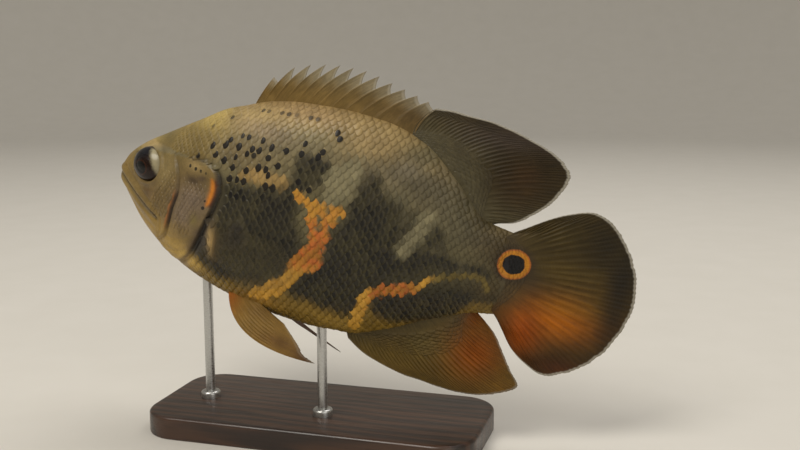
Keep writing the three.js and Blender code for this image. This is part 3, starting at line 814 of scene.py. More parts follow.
def scale_material(markings):
    material, t = new_material("oscar_scales", Specular_IOR_Level=0.25, Coat_Weight=0.06)
    marked = t.marked(markings, 0.01, 0.35)
    along, across, spotted = t.parts(t.attribute("plate", "Vector"))
    fine = t.noise(t.object_place(), 900.0, 2.0)
    ragged = t.times(t.minus(fine, 0.5), 0.3)
    rim = t.plus(t.length(t.math("MAXIMUM", along, 0.0), t.times(across, 0.8)), ragged)
    from_dash = t.plus(t.length(t.times(t.minus(along, 0.3), 2.4), t.times(across, 1.5)), ragged)
    own = t.attribute("tone")
    dash = t.times(t.step(from_dash, 1.15, 0.6), t.step(own, 0.0, 1.0, 0.3, 0.85))
    dashed = t.mix(dash, marked["Color"], (16, 15, 14))
    light_rim = t.mix(t.step(rim, 0.66, 0.94, 0.0, 0.47), dashed, SLATE_RIM)
    # On pale regions the free edge of each scale is a little darker: painted shadow along the overlap.
    pale_with_rim_shadow = t.mix(t.step(rim, 0.75, 0.98, 0.0, 0.1), marked["Color"], (82, 70, 42))
    halo = t.mix(t.step(spotted, 0.3, 1.0, 0.0, 0.35), pale_with_rim_shadow, (170, 146, 92))
    colour = t.mix(marked["Dark"], halo, light_rim)
    from_spot = t.plus(t.length(t.times(t.minus(along, 0.5), 2.5), t.times(across, 2.0)), ragged)
    spot = t.step(t.minus(from_spot, t.times(spotted, 0.8)), 0.7, 0.48)
    spot = t.times(spot, t.step(spotted, 0.0, 0.6, 0.0, 0.97))
    colour = t.mix(spot, colour, (20, 17, 16))
    colour = t.brightened(colour, t.step(own, 0.0, 1.0, 1.1, 0.88))
    t.dress(colour, t.step(fine, 0.2, 0.8, 0.34, 0.52), t.bump(fine, 0.25, 0.0002))
    return material


def fin_material(name, markings, clear=0.0):
    material, t = new_material(name, Specular_IOR_Level=0.2)
    marked = t.marked(markings, 0.006, 0.3)
    share, out, ray = t.parts(t.attribute("fan", "Vector"))
    streaks = t.noise(t.flat(t.times(share, 90.0), t.times(out, 5.0)), 1.0, 3.0)
    joints = t.math("SINE", t.times(out, 260.0))
    lines = t.times(t.times(ray, t.step(out, 0.1, 0.5)), 0.13)
    shade = t.plus(t.step(streaks, 0.3, 0.7, 0.82, 1.12), lines)
    colour = t.brightened(marked["Color"], shade)
    edge = t.times(t.minus(1.0, out), t.attribute("reach"))
    edge = t.plus(edge, t.times(t.minus(streaks, 0.5), 0.004))
    margin = t.times(t.step(edge, 0.0085, 0.004), t.attribute("margin"))
    colour = t.mix(margin, colour, PALE)
    height = t.plus(ray, t.times(joints, t.times(ray, 0.25)))
    t.dress(colour, t.step(streaks, 0.2, 0.8, 0.4, 0.58), t.bump(height, 0.3, 0.0003))
    if clear:
        lobe = t.times(t.step(out, 0.09, 0.02), t.math("SINE", t.times(share, math.pi)))
        thick = t.plus(t.times(ray, 0.1), t.times(lobe, 0.85))
        t.feed(t.surface["Alpha"], t.plus(thick, 1.0 - clear, clamp=True))
    return material


def eye_material():
    material, t = new_material(
        "oscar_eye", Roughness=0.22, Specular_IOR_Level=0.2, Coat_Weight=0.2, Coat_Roughness=0.03
    )
    across, up, _ = t.parts(t.attribute("look", "Vector"))
    grain = t.noise(t.flat(across, up), 9.0, 3.0)
    from_pupil = t.length(t.minus(across, -0.16), t.minus(up, -0.28))
    from_middle = t.length(across, up)
    colour = t.mix(grain, (34, 15, 6), (19, 9, 5))
    front = t.plus(t.times(across, -0.6), t.times(up, 0.75))
    colour = t.mix(t.step(front, 0.15, 0.6), colour, (17, 16, 21))
    ring = t.times(t.step(from_pupil, 0.38, 0.42), t.step(from_pupil, 0.52, 0.44))
    colour = t.mix(t.times(ring, 0.6), colour, (60, 32, 18))
    colour = t.mix(t.step(from_pupil, 0.42, 0.36), colour, (4, 3, 3))
    rear = t.plus(t.times(across, 0.86), t.times(up, 0.5))
    rear = t.plus(rear, t.times(t.minus(grain, 0.5), 0.2))
    crescent = t.times(t.step(rear, 0.38, 0.68), t.step(from_pupil, 0.48, 0.6))
    colour = t.mix(t.times(crescent, 0.92), colour, (158, 148, 118))
    colour = t.mix(t.step(from_middle, 0.98, 1.1), colour, (44, 32, 20))
    t.feed(t.surface["Base Color"], colour)
    return material


def wood_material():
    material, t = new_material("stand_wood", Coat_Weight=0.25, Coat_Roughness=0.18)
    place = t.object_place()
    long_grain = t.stretched(place, (0.12, 1.0, 1.0))
    warp = t.flat(0.0, t.times(t.noise(long_grain, 60.0, 3.0), 0.02))
    moved = t.node("VectorMath", {0: long_grain, 1: warp}, operation="ADD").outputs[0]
    waves = {"Vector": moved, "Scale": 48.0, "Distortion": 2.5, "Detail": 2.0}
    rings = t.node("TexWave", waves, bands_direction="Y").outputs["Fac"]
    fibres = t.noise(t.stretched(place, (0.03, 1.0, 1.0)), 1500.0, 2.0)
    colour = t.mix(t.step(rings, 0.1, 0.95), (66, 42, 27), (38, 24, 17))
    colour = t.mix(t.times(t.step(fibres, 0.5, 0.75), 0.5), colour, (26, 17, 12))
    t.dress(colour, t.step(fibres, 0.3, 0.7, 0.32, 0.48), t.bump(fibres, 0.15, 0.0002))
    return material


def steel_material():
    material, t = new_material("stand_steel", Metallic=1.0)
    lines = t.noise(t.stretched(t.object_place(), (1.0, 1.0, 12.0)), 700.0, 3.0)
    colour = t.mix(lines, (176, 176, 174), (206, 206, 204))
    t.dress(colour, t.step(lines, 0.25, 0.75, 0.22, 0.4), t.bump(lines, 0.1, 0.0001))
    return material


# Skin: one closed surface from snout to tail root
def skin(material):
    piece, x, y, z = ball("fish_skin", SKIN_SIDES, SKIN_RINGS)
    share = np.arccos(np.clip(z, -1, 1)) / np.pi
    pole = (share < 1e-3) | (share > 1 - 1e-3)
    turn = np.where(pole, 0, np.arctan2(y, x))
    along_at = curve_through((
        (0, 0), (0.02, 0.001), (0.06, 0.01), (0.1, 0.03), (0.2, 0.09), (0.45, 0.25), (0.62, 0.4),
        (0.985, 1.0), (1, TAIL_END),
    ))
    s = along_at(share)
    angle = turn - 0.28 * np.sin(2 * turn)
    moulded(piece, posed(skin_place(s, angle, 0 * s)))
    plain = plain_body(s, angle)
    give_markings(piece, plain, body_paint(*plain.T))
    piece.data.materials.append(material)
    nodes = ("head", "lower_jaw", "gill_cover_left", "gill_cover_right", "trunk", "tail_stem")
    belongs(piece, "fish_skin", *nodes)


# Scales: thin closed plates over the skin, rooted in a staggered net and overlapping towards the tail
SCALE_SIDE = 5
grid = np.linspace(-1, 1, SCALE_SIDE)
GRID_P, GRID_Q = [axis.ravel() for axis in np.meshgrid(grid, grid, indexing="ij")]
PLATE_P = GRID_P * np.sqrt(1 - GRID_Q**2 / 2)
PLATE_Q = GRID_Q * np.sqrt(1 - GRID_P**2 / 2)
last = SCALE_SIDE - 1
RING = [i * SCALE_SIDE for i in range(last)] + [last * SCALE_SIDE + j for j in range(last)]
RING += [(last - i) * SCALE_SIDE + last for i in range(last)] + [last - j for j in range(last)]
TOP_FACES = [
    (i * SCALE_SIDE + j, (i + 1) * SCALE_SIDE + j, (i + 1) * SCALE_SIDE + j + 1, i * SCALE_SIDE + j + 1)
    for i in range(last) for j in range(last)
]
TOP_COUNT = SCALE_SIDE**2
WALL_FACES = [
    (RING[k], TOP_COUNT + k, TOP_COUNT + (k + 1) % len(RING), RING[(k + 1) % len(RING)])
    for k in range(len(RING))
]
BOTTOM_FACE = tuple(TOP_COUNT + k for k in range(len(RING)))
ALL_P = np.concatenate([PLATE_P, PLATE_P[RING]])
ALL_Q = np.concatenate([PLATE_Q, PLATE_Q[RING]])
IS_TOP = np.arange(len(ALL_P)) < TOP_COUNT
BODY_PITCH = 3.3 * MM
BODY_ROW = 2.35 * MM
BODY_RISE = 0.36 * MM
FACE_PITCH = 2.3 * MM
FACE_ROW = 1.65 * MM
FACE_RISE = 0.07 * MM
FIN_PITCH = 2.3 * MM
FIN_RISE = 0.26 * MM
PLATE_DEPTH = 0.16 * MM  # Thickness of a plate
PLATE_FOOT = 0.15 * MM  # Least depth of a plate's underside below the skin
PATCH = 0.0012  # Half the size of a scale's patch on the bake's map
SCALE_SIZE = curve_through(((0.15, 0.55), (0.25, 0.75), (0.38, 1.0), (0.7, 1.0), (0.9, 0.84), (1.0, 0.72)))

# Arc lengths round the left side of the body, from its widest line up to the back and down to the belly
ARC_S = np.linspace(0.0, TAIL_END, 160)
ARC_ANGLES = np.linspace(-np.pi / 2, np.pi / 2, 241)
ARC_STEPS = np.linspace(-0.3, 0.3, 241)
sections = plain_body(ARC_S[:, None], ARC_ANGLES[None])
pieces_round = np.linalg.norm(np.diff(sections, axis=1), axis=-1)
arcs = np.concatenate([np.zeros((len(ARC_S), 1)), np.cumsum(pieces_round, 1)], 1)
arcs -= arcs[:, [120]]
ANGLE_TABLE = np.array([np.interp(ARC_STEPS, row, ARC_ANGLES) for row in arcs])
ARC_TOP = arcs[:, -1]
ARC_BOTTOM = arcs[:, 0]


def angle_at(s, arc):
    """The angle round the left side at an arc's length from the widest line."""
    i = np.clip(s / TAIL_END * (len(ARC_S) - 1), 0, len(ARC_S) - 1.001)
    j = np.clip((arc - ARC_STEPS[0]) / (ARC_STEPS[1] - ARC_STEPS[0]), 0, len(ARC_STEPS) - 1.001)
    i0, j0 = i.astype(int), j.astype(int)
    fi, fj = i - i0, j - j0
    low = ANGLE_TABLE[i0, j0] * (1 - fj) + ANGLE_TABLE[i0, j0 + 1] * fj
    high = ANGLE_TABLE[i0 + 1, j0] * (1 - fj) + ANGLE_TABLE[i0 + 1, j0 + 1] * fj
    return low * (1 - fi) + high * fi


def on_skin(way):
    """Places a scale's points over the left or right side of the skin."""

    def place(s, arc, lift):
        angle = angle_at(s, arc)
        return skin_place(s, angle if way > 0 else np.pi - angle, lift)

    return place


def on_map(along, level, way):
    """Places on the bake's map: the left side's half lies below the right side's."""
    return np.stack([0.02 + 0.95 * along, (0.02 if way > 0 else 0.52) + 0.46 * level], -1)


def unwrapped(s, arc, way):
    top = np.interp(s, ARC_S, ARC_TOP)
    bottom = np.interp(s, ARC_S, ARC_BOTTOM)
    return on_map(s / 1.3, np.clip((arc - bottom) / (top - bottom), 0, 1), way)


def coat_piece(name, roots, place, unwrap_at, paint_at, material, way, plain=False):
    """Makes one piece of many scales. Each root is (along, across, pitch, row, rise)."""
    s0, a0, pitch, row, rise = np.transpose(roots)[..., None]
    count = len(roots)
    p, q = ALL_P[None], ALL_Q[None]
    tilt = chance.uniform(-0.06, 0.06, (count, 1))
    s = s0 + (p + tilt * q) * pitch * 0.92
    a = a0 + q * row * 1.12 * (1 + 0.12 * np.minimum(p, 0)) - tilt * p * pitch
    jitter = chance.uniform(0.85, 1.15, (count, 1))
    height = rise * (-0.75 + 1.35 * (p + 1) / 2 * jitter - 0.22 * q * q)
    height = np.where(IS_TOP[None], height, np.minimum(height - PLATE_DEPTH, -PLATE_FOOT))
    points = place(s, a, height)
    corners = points.reshape(-1, 3)
    base = (np.arange(count) * len(ALL_P))[:, None, None]
    quads = (np.array(WALL_FACES + TOP_FACES)[None] + base).reshape(-1, 4)
    bottoms = (np.array([BOTTOM_FACE])[None] + base).reshape(count, -1)
    piece = new_mesh(name, posed(corners), [*bottoms, *quads])
    root_place = place(s0, a0, np.zeros_like(s0))
    near_ocellus = hump(distance(points[..., 0], points[..., 2], OCELLUS), 0.045)[..., None]
    own = 0.35 + 0.65 * smooth(near_ocellus, 0.2, 0.5)
    mixed = (points * own + root_place * (1 - own)).reshape(-1, 3)
    give_markings(piece, mixed, paint_at(*mixed.T), plain)
    spotted = np.zeros((count, 1))
    for along, up, strength in [] if plain else SPOTS:
        far = distance(root_place[:, 0, 0] + 0.46 * pitch[:, 0], root_place[:, 0, 2], (along, up))
        if far.min() < 0.45 * pitch.max():
            spotted[np.argmin(far)] = strength
    tone = chance.uniform(0, 1, (count, 1))
    plate = np.stack(np.broadcast_arrays(p, q, spotted), -1).reshape(-1, 3)
    give(piece, plate=plate, tone=(tone + 0 * p).ravel())
    grow = np.where(IS_TOP, 1.0, 1.25)
    patch = unwrap_at(s0, a0, way) + np.stack([p * grow, q * grow], -1) * PATCH
    unwrap(piece, patch.reshape(-1, 2))
    piece.data.materials.append(material)
    belongs(piece, "fish_skin")


def from_side(roots):
    """Places of roots along and up, and their distance behind the gill opening."""
    s = roots[:, 0]
    h = plain_body(s, angle_at(s, roots[:, 1]))[:, 2]
    return s, h, to_chain(GILL_EDGE, s, h)


def body_roots():
    """Roots of the scales of one side: behind the gill opening and over the nape."""
    edges = [0.19]
    while edges[-1] < 0.99:
        edges.append(edges[-1] + BODY_PITCH / 2 * float(SCALE_SIZE(edges[-1])))
    roots = []
    for column, s in enumerate(edges):
        size = float(SCALE_SIZE(s))
        top = np.interp(s, ARC_S, ARC_TOP)
        bottom = np.interp(s, ARC_S, ARC_BOTTOM)
        for row in range(-50, 51):
            if (column + row) % 2:
                continue
            arc = row * BODY_ROW * size
            if bottom + 0.004 < arc < top - 0.003:
                along, around = chance.uniform(-0.05, 0.05, 2)
                place = (s + along * BODY_PITCH, arc + around * BODY_ROW)
                roots.append((*place, BODY_PITCH * size, BODY_ROW * size, BODY_RISE))
    roots = np.array(roots)
    s, h, gill = from_side(roots)
    behind = (gill > 0.012) & (s > 0.3)
    nape = (h > 0.1) & (s > 0.2) & (gill > 0.004) | (h > 0.128) & (s > 0.2)
    free = distance(s, h, FIN_BASE, (0.014, 0.04)) > 1
    chest = (s > 0.27) & (h < -0.15) & (gill > 0.012)
    keep = (behind | nape | chest) & free & (s < TAIL_ROOT)
    roots[:, 4] *= (0.2 + 0.8 * smooth(s, 0.24, 0.44)) * (1 - 0.5 * smooth(h, 0.06, 0.16))
    roots[:, 4] *= 1 - 0.4 * smooth(s, 0.72, 0.85) * smooth(h, -0.05, 0.03)
    return roots[keep]


def face_roots():
    """Roots of the small, flat scales of the cheek and the gill cover."""
    roots = np.array([
        (0.165 + column * FACE_PITCH / 2, row * FACE_ROW, FACE_PITCH, FACE_ROW, FACE_RISE)
        for column in range(60) for row in range(-50, 51) if (column + row) % 2 == 0
    ])
    s, h, gill = from_side(roots)
    cheek = to_chain(CHEEK_EDGE, s, h)
    to_eye = distance(s, h, (EYE_AT[0], EYE_AT[2]))
    on_cheek = (cheek < -0.012) & (to_eye > 0.064) & (h < 0.05) & (h > -0.052 - (0.2 - s) * 0.2) & (s > 0.17)
    on_cover = (cheek > 0.012) & (gill < -0.034) & (h > -0.075) & (h < 0.045)
    return roots[on_cheek | on_cover]


# Fins: fans of rays from a root line in the body to the free edge
def root_on(profile, first, end, sunk):
    def place(share):
        along = first + (end - first) * share
        return np.stack([along, profile(along) + sunk], -1)

    return place


SPINES = 13
SPINE_ROOT = curve_through((
    (0, 0.368), (1, 0.388), (2, 0.414), (4, 0.466), (6, 0.522), (8, 0.584), (10, 0.656), (12, 0.752),
))
SPINE_TIP = curve_through((
    (0, 0.41), (1, 0.458), (2, 0.496), (4, 0.565), (7, 0.656), (10, 0.744), (12, 0.794),
))
SPINE_TOP = curve_through((
    (0, 0.306), (1, 0.337), (2, 0.35), (4.5, 0.363), (6, 0.362), (8, 0.348), (12, 0.317),
))
SPINE_BOW = np.array([-0.011, 0.005])
NOTCH = curve_through(((0, 0.52), (1, 0.42), (3, 0.36), (5, 0.31), (8, 0.25), (10, 0.18), (12, 0.12)))


def bowed(start, middle, end, out):
    """Places at a share of the way along a curve from its start through its middle to its end."""
    out = out[..., None]
    return start * (1 - out) * (1 - 2 * out) + middle * 4 * out * (1 - out) + end * out * (2 * out - 1)


def spine_root(share):
    along = SPINE_ROOT(share * (SPINES - 1))
    return np.stack([along, back(along) - 0.02], -1)


def spine_tip(share):
    return np.stack([SPINE_TIP(share * (SPINES - 1)), SPINE_TOP(share * (SPINES - 1))], -1)


def along_spine(share, reach):
    """Places on the curved spines and the skin between them, at a share of their length from the root."""
    start, end = spine_root(share), spine_tip(share)
    middle = (start + end) / 2 + SPINE_BOW * (0.3 + 0.7 * smooth(share, 0.0, 0.15))[..., None]
    return bowed(start, middle, end, reach)


def spiny_reach(share):
    """Behind each spine's tip the edge falls to a notch, and the next spine stands up out of it."""
    place = share * (SPINES - 1)
    past = np.clip(place - np.floor(place + 1e-6), 0, 1)
    return 1 - NOTCH(place) * past**0.95 * (1 - smooth(past, 0.94, 0.99))


def swept(root, edge, first, middle):
    """Bows the rays of a fin, by a first offset at its first ray and by another half way along it."""

    def place(share):
        wide = share[..., None]
        offset = np.array(first) * (1 - wide) ** 3 + np.array(middle) * 4 * wide * (1 - wide)
        return (root(share) + edge(share)) / 2 + offset

    return place


pelvic_root = line_through([(402, -165), (422, -165), (445, -168)])


def pectoral_side(way):
    return lambda share, out: way * (0.0915 - 0.012 * share + 0.11 * out - 0.045 * out * out)


soft_root = root_on(back, 0.75, 0.925, -0.02)
soft_edge = line_through([
    (789, 315), (828, 317), (864, 313), (909, 310), (953, 301), (995, 289), (1041, 272), (1077, 250),
    (1094, 220), (1072, 170), (1040, 137), (1003, 109), (965, 100),
])
anal_root = root_on(belly, 0.672, 0.93, 0.03)
anal_edge = line_through([
    (690, -222), (729, -246), (777, -262), (826, -274), (865, -278), (906, -284), (953, -288), (1000, -285),
    (1045, -272), (1079, -251), (1056, -218), (1030, -178), (1006, -143), (980, -119),
])
TAIL_ROOT = 0.985
FIN_EDGE = 0.7  # Thickness at a fin's free edge, in millimetres
FINS = {
    "dorsal_fin_spiny": dict(
        root=spine_root, edge=lambda share: along_spine(share, spiny_reach(share)),
        bow=lambda share: along_spine(share, spiny_reach(share) / 2),
        rays=SPINES - 1, thickness=2.6, side=lambda share, out: 0 * share,
        columns=601, rows=40, branch=False, margin=0.5,
    ),
    "dorsal_fin_soft": dict(
        root=soft_root, edge=soft_edge, bow=swept(soft_root, soft_edge, (-0.014, 0.005), (-0.016, 0.016)),
        rays=19, thickness=2.6, side=lambda share, out: -0.012 * out * out * share,
        columns=380, rows=60, branch=True, margin=0.9,
    ),
    "anal_fin": dict(
        root=anal_root, edge=anal_edge, bow=swept(anal_root, anal_edge, (0, 0), (-0.01, -0.014)),
        rays=20, thickness=2.4, side=lambda share, out: -0.01 * out * out * share,
        columns=380, rows=54, branch=True, margin=0.35,
    ),
    "tail_fin": dict(
        root=lambda share: np.stack([TAIL_ROOT + 0 * share, 0.078 - 0.164 * share], -1),
        edge=line_through([
            (1018, 100), (1071, 133), (1113, 152), (1158, 162), (1200, 147), (1236, 112), (1268, 65),
            (1286, 19), (1290, -30), (1278, -82), (1250, -137), (1206, -181), (1163, -203), (1126, -212),
            (1090, -198), (1045, -165), (1012, -118),
        ]),
        rays=18, thickness=3.6, side=lambda share, out: 0.004 * np.sin(share * math.pi * 3) * out,
        columns=420, rows=70, branch=True, margin=0.8,
    ),
    "pelvic_fin_left": dict(
        root=pelvic_root,
        bow=line_through([(472, -255), (481, -239), (491, -220), (501, -202), (506, -192)]),
        edge=line_through([(652, -268), (622, -259), (606, -244), (584, -227), (562, -210)]),
        rays=6, thickness=2.2, side=lambda share, out: 0.034 + 0.048 * out - 0.022 * share * out,
        columns=140, rows=60, branch=True, margin=0.2,
    ),
    "pelvic_fin_right": dict(
        root=pelvic_root,
        bow=line_through([(500, -230), (503, -229), (508, -226)]),
        edge=line_through([(643, -305), (627, -292), (612, -277), (600, -262)]),
        rays=6, thickness=2.2, side=lambda share, out: -0.034 - 0.09 * out + 0.055 * share * out,
        columns=140, rows=60, branch=True, margin=0.2,
    ),
}
for way_name, way in SIDES:
    FINS["pectoral_fin_" + way_name] = dict(
        root=line_through([(374, -36), (370, -70), (368, -106)]),
        bow=line_through([(478, -12), (478, -66), (455, -118)]),
        edge=line_through([
            (560, -10), (587, -30), (600, -57), (594, -85), (567, -108), (528, -125), (480, -131),
        ]),
        rays=13, thickness=1.5, side=pectoral_side(way), columns=240, rows=50, branch=True, margin=0.0,
    )


def ray_height(fan, share, out):
    """1 on a ray's crest and 0 between rays; rays of the soft fins split in two, and again near the edge."""
    single = np.abs(np.cos(np.pi * share * fan["rays"])) ** (4 if fan["branch"] else 12)
    if not fan["branch"]:
        return single
    double = np.abs(np.cos(2 * np.pi * share * fan["rays"])) ** 3
    fourfold = np.abs(np.cos(4 * np.pi * share * fan["rays"])) ** 2
    first, second = smooth(out, 0.32, 0.5), smooth(out, 0.68, 0.82)
    return single * (1 - first) + first * (double * (1 - second) + fourfold * second)


def fin_middle(fan, share, out):
    """Straight-fish places on a fin's middle surface."""
    start, end = fan["root"](share), fan["edge"](share)
    middle = fan["bow"](share) if "bow" in fan else (start + end) / 2
    flat = bowed(start, middle, end, out)
    return np.stack([flat[..., 0], fan["side"](share, out), flat[..., 1]], -1)


def fin_thickness(fan, share, out):
    full = (fan["thickness"] + (FIN_EDGE - fan["thickness"]) * out) / 2
    thin = np.maximum(full * (0.92 - 0.55 * smooth(out, 0.12, 0.5)), 0.2)
    ray = ray_height(fan, share, out)
    body = thin + (full * 0.8 - thin) * ray * smooth(out, 0.05, 0.3)
    return body * (1 - 0.55 * smooth(out, 0.985, 1.0)) * MM


def fin_paint(name, place, out):
    s, _, h = np.moveaxis(place, -1, 0)
    base, marks = FIN_DABS["pectoral_fin" if "pectoral" in name else name]
    colour = dabs(ground(place, base), s, h, marks)
    if name == "dorsal_fin_spiny":
        return blend(colour, 0.5 * smooth(out, 0.6, 0.95), (148, 140, 118))
    if name == "dorsal_fin_soft":
        return blend(colour, hump(np.maximum(h - back(s), 0), 0.055) * 0.9, (78, 71, 49))
    if name == "anal_fin":
        near = hump(np.maximum(belly(s) - h, 0), 0.03) * (1 - smooth(s, 0.9, 0.96))
        return blend(colour, near * 0.9, (76, 65, 38))
    if name == "tail_fin":
        near = hump(np.maximum(s - TAIL_ROOT, 0), 0.04) * smooth(h, -0.08, -0.05)
        return blend(colour, near * 0.85, (72, 60, 38))
    return colour


def fin(name, material):
    fan = FINS[name]
    columns, rows = fan["columns"], fan["rows"]
    share, out = np.meshgrid(np.linspace(0, 1, columns), np.linspace(0, 1, rows) ** 0.9, indexing="ij")
    ray = ray_height(fan, share, out)
    torn = np.interp(share, np.linspace(0, 1, 90), chance.uniform(0, 1, 90))
    frayed = out * (1 - (0.004 * (1 - ray) + 0.01 * torn) * smooth(out, 0.9, 1.0) * fan["branch"])
    middle = fin_middle(fan, share, frayed)
    thick = fin_thickness(fan, share, out)
    sides = []
    for way in (1, -1):
        side = middle.copy()
        side[..., 1] += way * thick
        sides.append(side.reshape(-1, 3))
    points = np.concatenate(sides)
    index = np.arange(columns * rows).reshape(columns, rows)
    quads = np.stack([index[:-1, :-1], index[1:, :-1], index[1:, 1:], index[:-1, 1:]], -1).reshape(-1, 4)
    rim = np.concatenate([index[:, 0], index[-1, 1:], index[-2::-1, -1], index[0, -2:0:-1]])
    after = np.roll(rim, -1)
    other = columns * rows
    walls = np.stack([rim, rim + other, after + other, after], -1)
    piece = new_mesh(name, posed(points), np.concatenate([quads, quads[:, ::-1] + other, walls]))
    give_markings(piece, points, fin_paint(name, points, np.tile(out.ravel(), 2)), plain=True)
    fan_place = np.stack([share, out, ray], -1).reshape(-1, 3)
    reach = np.linalg.norm(fan["edge"](share) - fan["root"](share), axis=-1).ravel()
    margin = np.full(len(points), fan["margin"])
    give(piece, fan=np.tile(fan_place, (2, 1)), margin=margin, reach=np.tile(reach, 2))
    piece.data.materials.append(material)
    belongs(piece, "fin_membrane", name)


def on_fin(fan, way):
    """Places a scale's points on one side of a fin: along is out along the rays, across the share."""

    def place(out, share, lift):
        flat = fin_middle(fan, np.clip(share, 0.002, 0.998), np.clip(out, 0, 1))
        flat[..., 1] += way * (fin_thickness(fan, share, out) + lift)
        return flat

    return place


def fin_roots(fan, first, reach):
    """Roots of the small scales over a fin's base; the scales shrink outwards and stop short at its ends."""

    def at(share, out):
        return fin_middle(fan, np.array(share), np.array(out))

    length = np.linalg.norm(at(0.5, 1.0) - at(0.5, 0.0))
    lines = int(np.linalg.norm(at(0.9, first) - at(0.1, first)) / 0.8 / (FIN_PITCH * 0.72))
    roots = []
    out, column = first, 0
    while out < first + reach:
        size = 1 - 0.45 * (out - first) / reach
        for line in range(lines):
            share = (line + 0.5) / lines
            end = first + reach * (0.45 + 0.55 * math.sin(math.pi * min(0.15 + share, 1.0)))
            if (line + column) % 2 == 0 and out < end:
                wide = 1 / lines * (0.85 + 0.15 * size)
                roots.append((out, share, FIN_PITCH * size / length, wide, FIN_RISE * size))
        out += FIN_PITCH * size / 2 / length
        column += 1
    return roots


# Fins with scales at their base, from one share of the rays' length and over another
FIN_COATS = (("dorsal_fin_soft", 0.1, 0.3), ("anal_fin", 0.2, 0.26), ("tail_fin", 0.02, 0.16))


# Eyes
def unit(way):
    return way / np.linalg.norm(way)


def eye(name, way, material):
    along, across, up = EYE_AT
    centre = posed((along, across * way, up))
    facing = unit(posed((along, way, up)) - centre)
    forward = unit(posed((along - 0.01, across * way, up)) - centre)
    upward = unit(np.cross(facing, forward) * -way)
    facing = unit(facing + forward * math.sin(EYE_TURN) + upward * math.sin(EYE_TIP))
    rear = unit(np.cross(upward, facing) * way)
    top = np.cross(facing, rear) * way
    piece, x, y, z = ball(name, 64, 64)
    radius = np.hypot(x, y)
    bulge = np.where(z > 0, 0.04 * hump(radius, 0.3) - 0.02 * hump(radius - 0.43, 0.04), 0)
    points = centre + np.outer(x * EYE_RADIUS[0], rear) + np.outer(y * EYE_RADIUS[1], top)
    points += np.outer((z + bulge) * EYE_DEPTH, facing)
    moulded(piece, points)
    give(piece, look=np.stack([x, y, z], -1) / 0.86)
    piece.data.materials.append(material)
    belongs(piece, "fish_eye", name)


# Display stand: each rod reaches a little into the base and into the belly
ROD_FOOT = 0.002
ROD_REACH = 0.0022
COLLAR_HEIGHT = 0.003
# Rounded edges as (radius, steps)
BASE_CORNER = (0.016, 14)
BASE_TOP_EDGE = (0.0015, 5)
BASE_FOOT_EDGE = (0.0006, 3)
COLLAR_EDGE = (0.0011, 5)
NEAR = 1e-4


def finished(piece, name, material, slot_name, *nodes):
    piece.name = name
    bpy.ops.object.transform_apply(location=True, rotation=True, scale=True)
    bpy.ops.object.shade_smooth_by_angle(angle=math.radians(35))
    piece.data.materials.append(material)
    belongs(piece, slot_name, *nodes)


def round_edges(piece, chosen, radius, steps):
    """Rounds the edges that a test picks by their two end places."""
    bpy.ops.object.mode_set(mode="EDIT")
    bpy.ops.mesh.select_mode(type="EDGE")
    bpy.ops.mesh.select_all(action="DESELECT")
    bpy.ops.object.mode_set(mode="OBJECT")
    points = piece.data.vertices
    for edge in piece.data.edges:
        edge.select = bool(chosen(*[points[i].co for i in edge.vertices]))
    bpy.ops.object.mode_set(mode="EDIT")
    bpy.ops.mesh.bevel(offset=radius, segments=steps, affect="EDGES")
    bpy.ops.object.mode_set(mode="OBJECT")


def stand_base(wood):
    low, high = [Vector(corner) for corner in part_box("stand_base")]
    nothing_selected()
    bpy.ops.mesh.primitive_cube_add(size=1, location=(low + high) / 2, scale=high - low)
    base = bpy.context.object
    bpy.ops.object.transform_apply(location=True, rotation=True, scale=True)
    round_edges(base, lambda a, b: abs(a.z - b.z) > (high.z - low.z) / 2, *BASE_CORNER)
    round_edges(base, lambda a, b: min(a.z, b.z) > high.z - NEAR, *BASE_TOP_EDGE)
    round_edges(base, lambda a, b: max(a.z, b.z) < low.z + NEAR, *BASE_FOOT_EDGE)
    finished(base, "stand_base_wood", wood, "stand_wood", "stand_base")
    return high.z


def upright(sides, radius, middle, bottom, top):
    nothing_selected()
    place = (middle[0], middle[1], (top + bottom) / 2)
    bpy.ops.mesh.primitive_cylinder_add(vertices=sides, radius=radius, depth=top - bottom, location=place)
    return bpy.context.object


def stand_rod(name, base_top, steel):
    low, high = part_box(name)
    middle = [(high[i] + low[i]) / 2 for i in range(3)]
    radius = (high[0] - low[0]) / 2
    rod = upright(48, radius * 0.98, middle, base_top - ROD_FOOT, high[2] + ROD_REACH)
    finished(rod, name + "_steel", steel, "stand_steel", name)
    top = base_top + COLLAR_HEIGHT
    collar = upright(64, radius * 2, middle, base_top, top)
    bpy.ops.object.transform_apply(location=True, rotation=True, scale=True)
    round_edges(collar, lambda a, b: min(a.z, b.z) > top - NEAR, *COLLAR_EDGE)
    finished(collar, name + "_collar", steel, "stand_steel")


# Setting: pale floor that sweeps up all round, soft lights and the camera
FLOOR_RADIUS = 2.6
WALL_HEIGHT = 1.6
SWEEP = (0.9, 16)


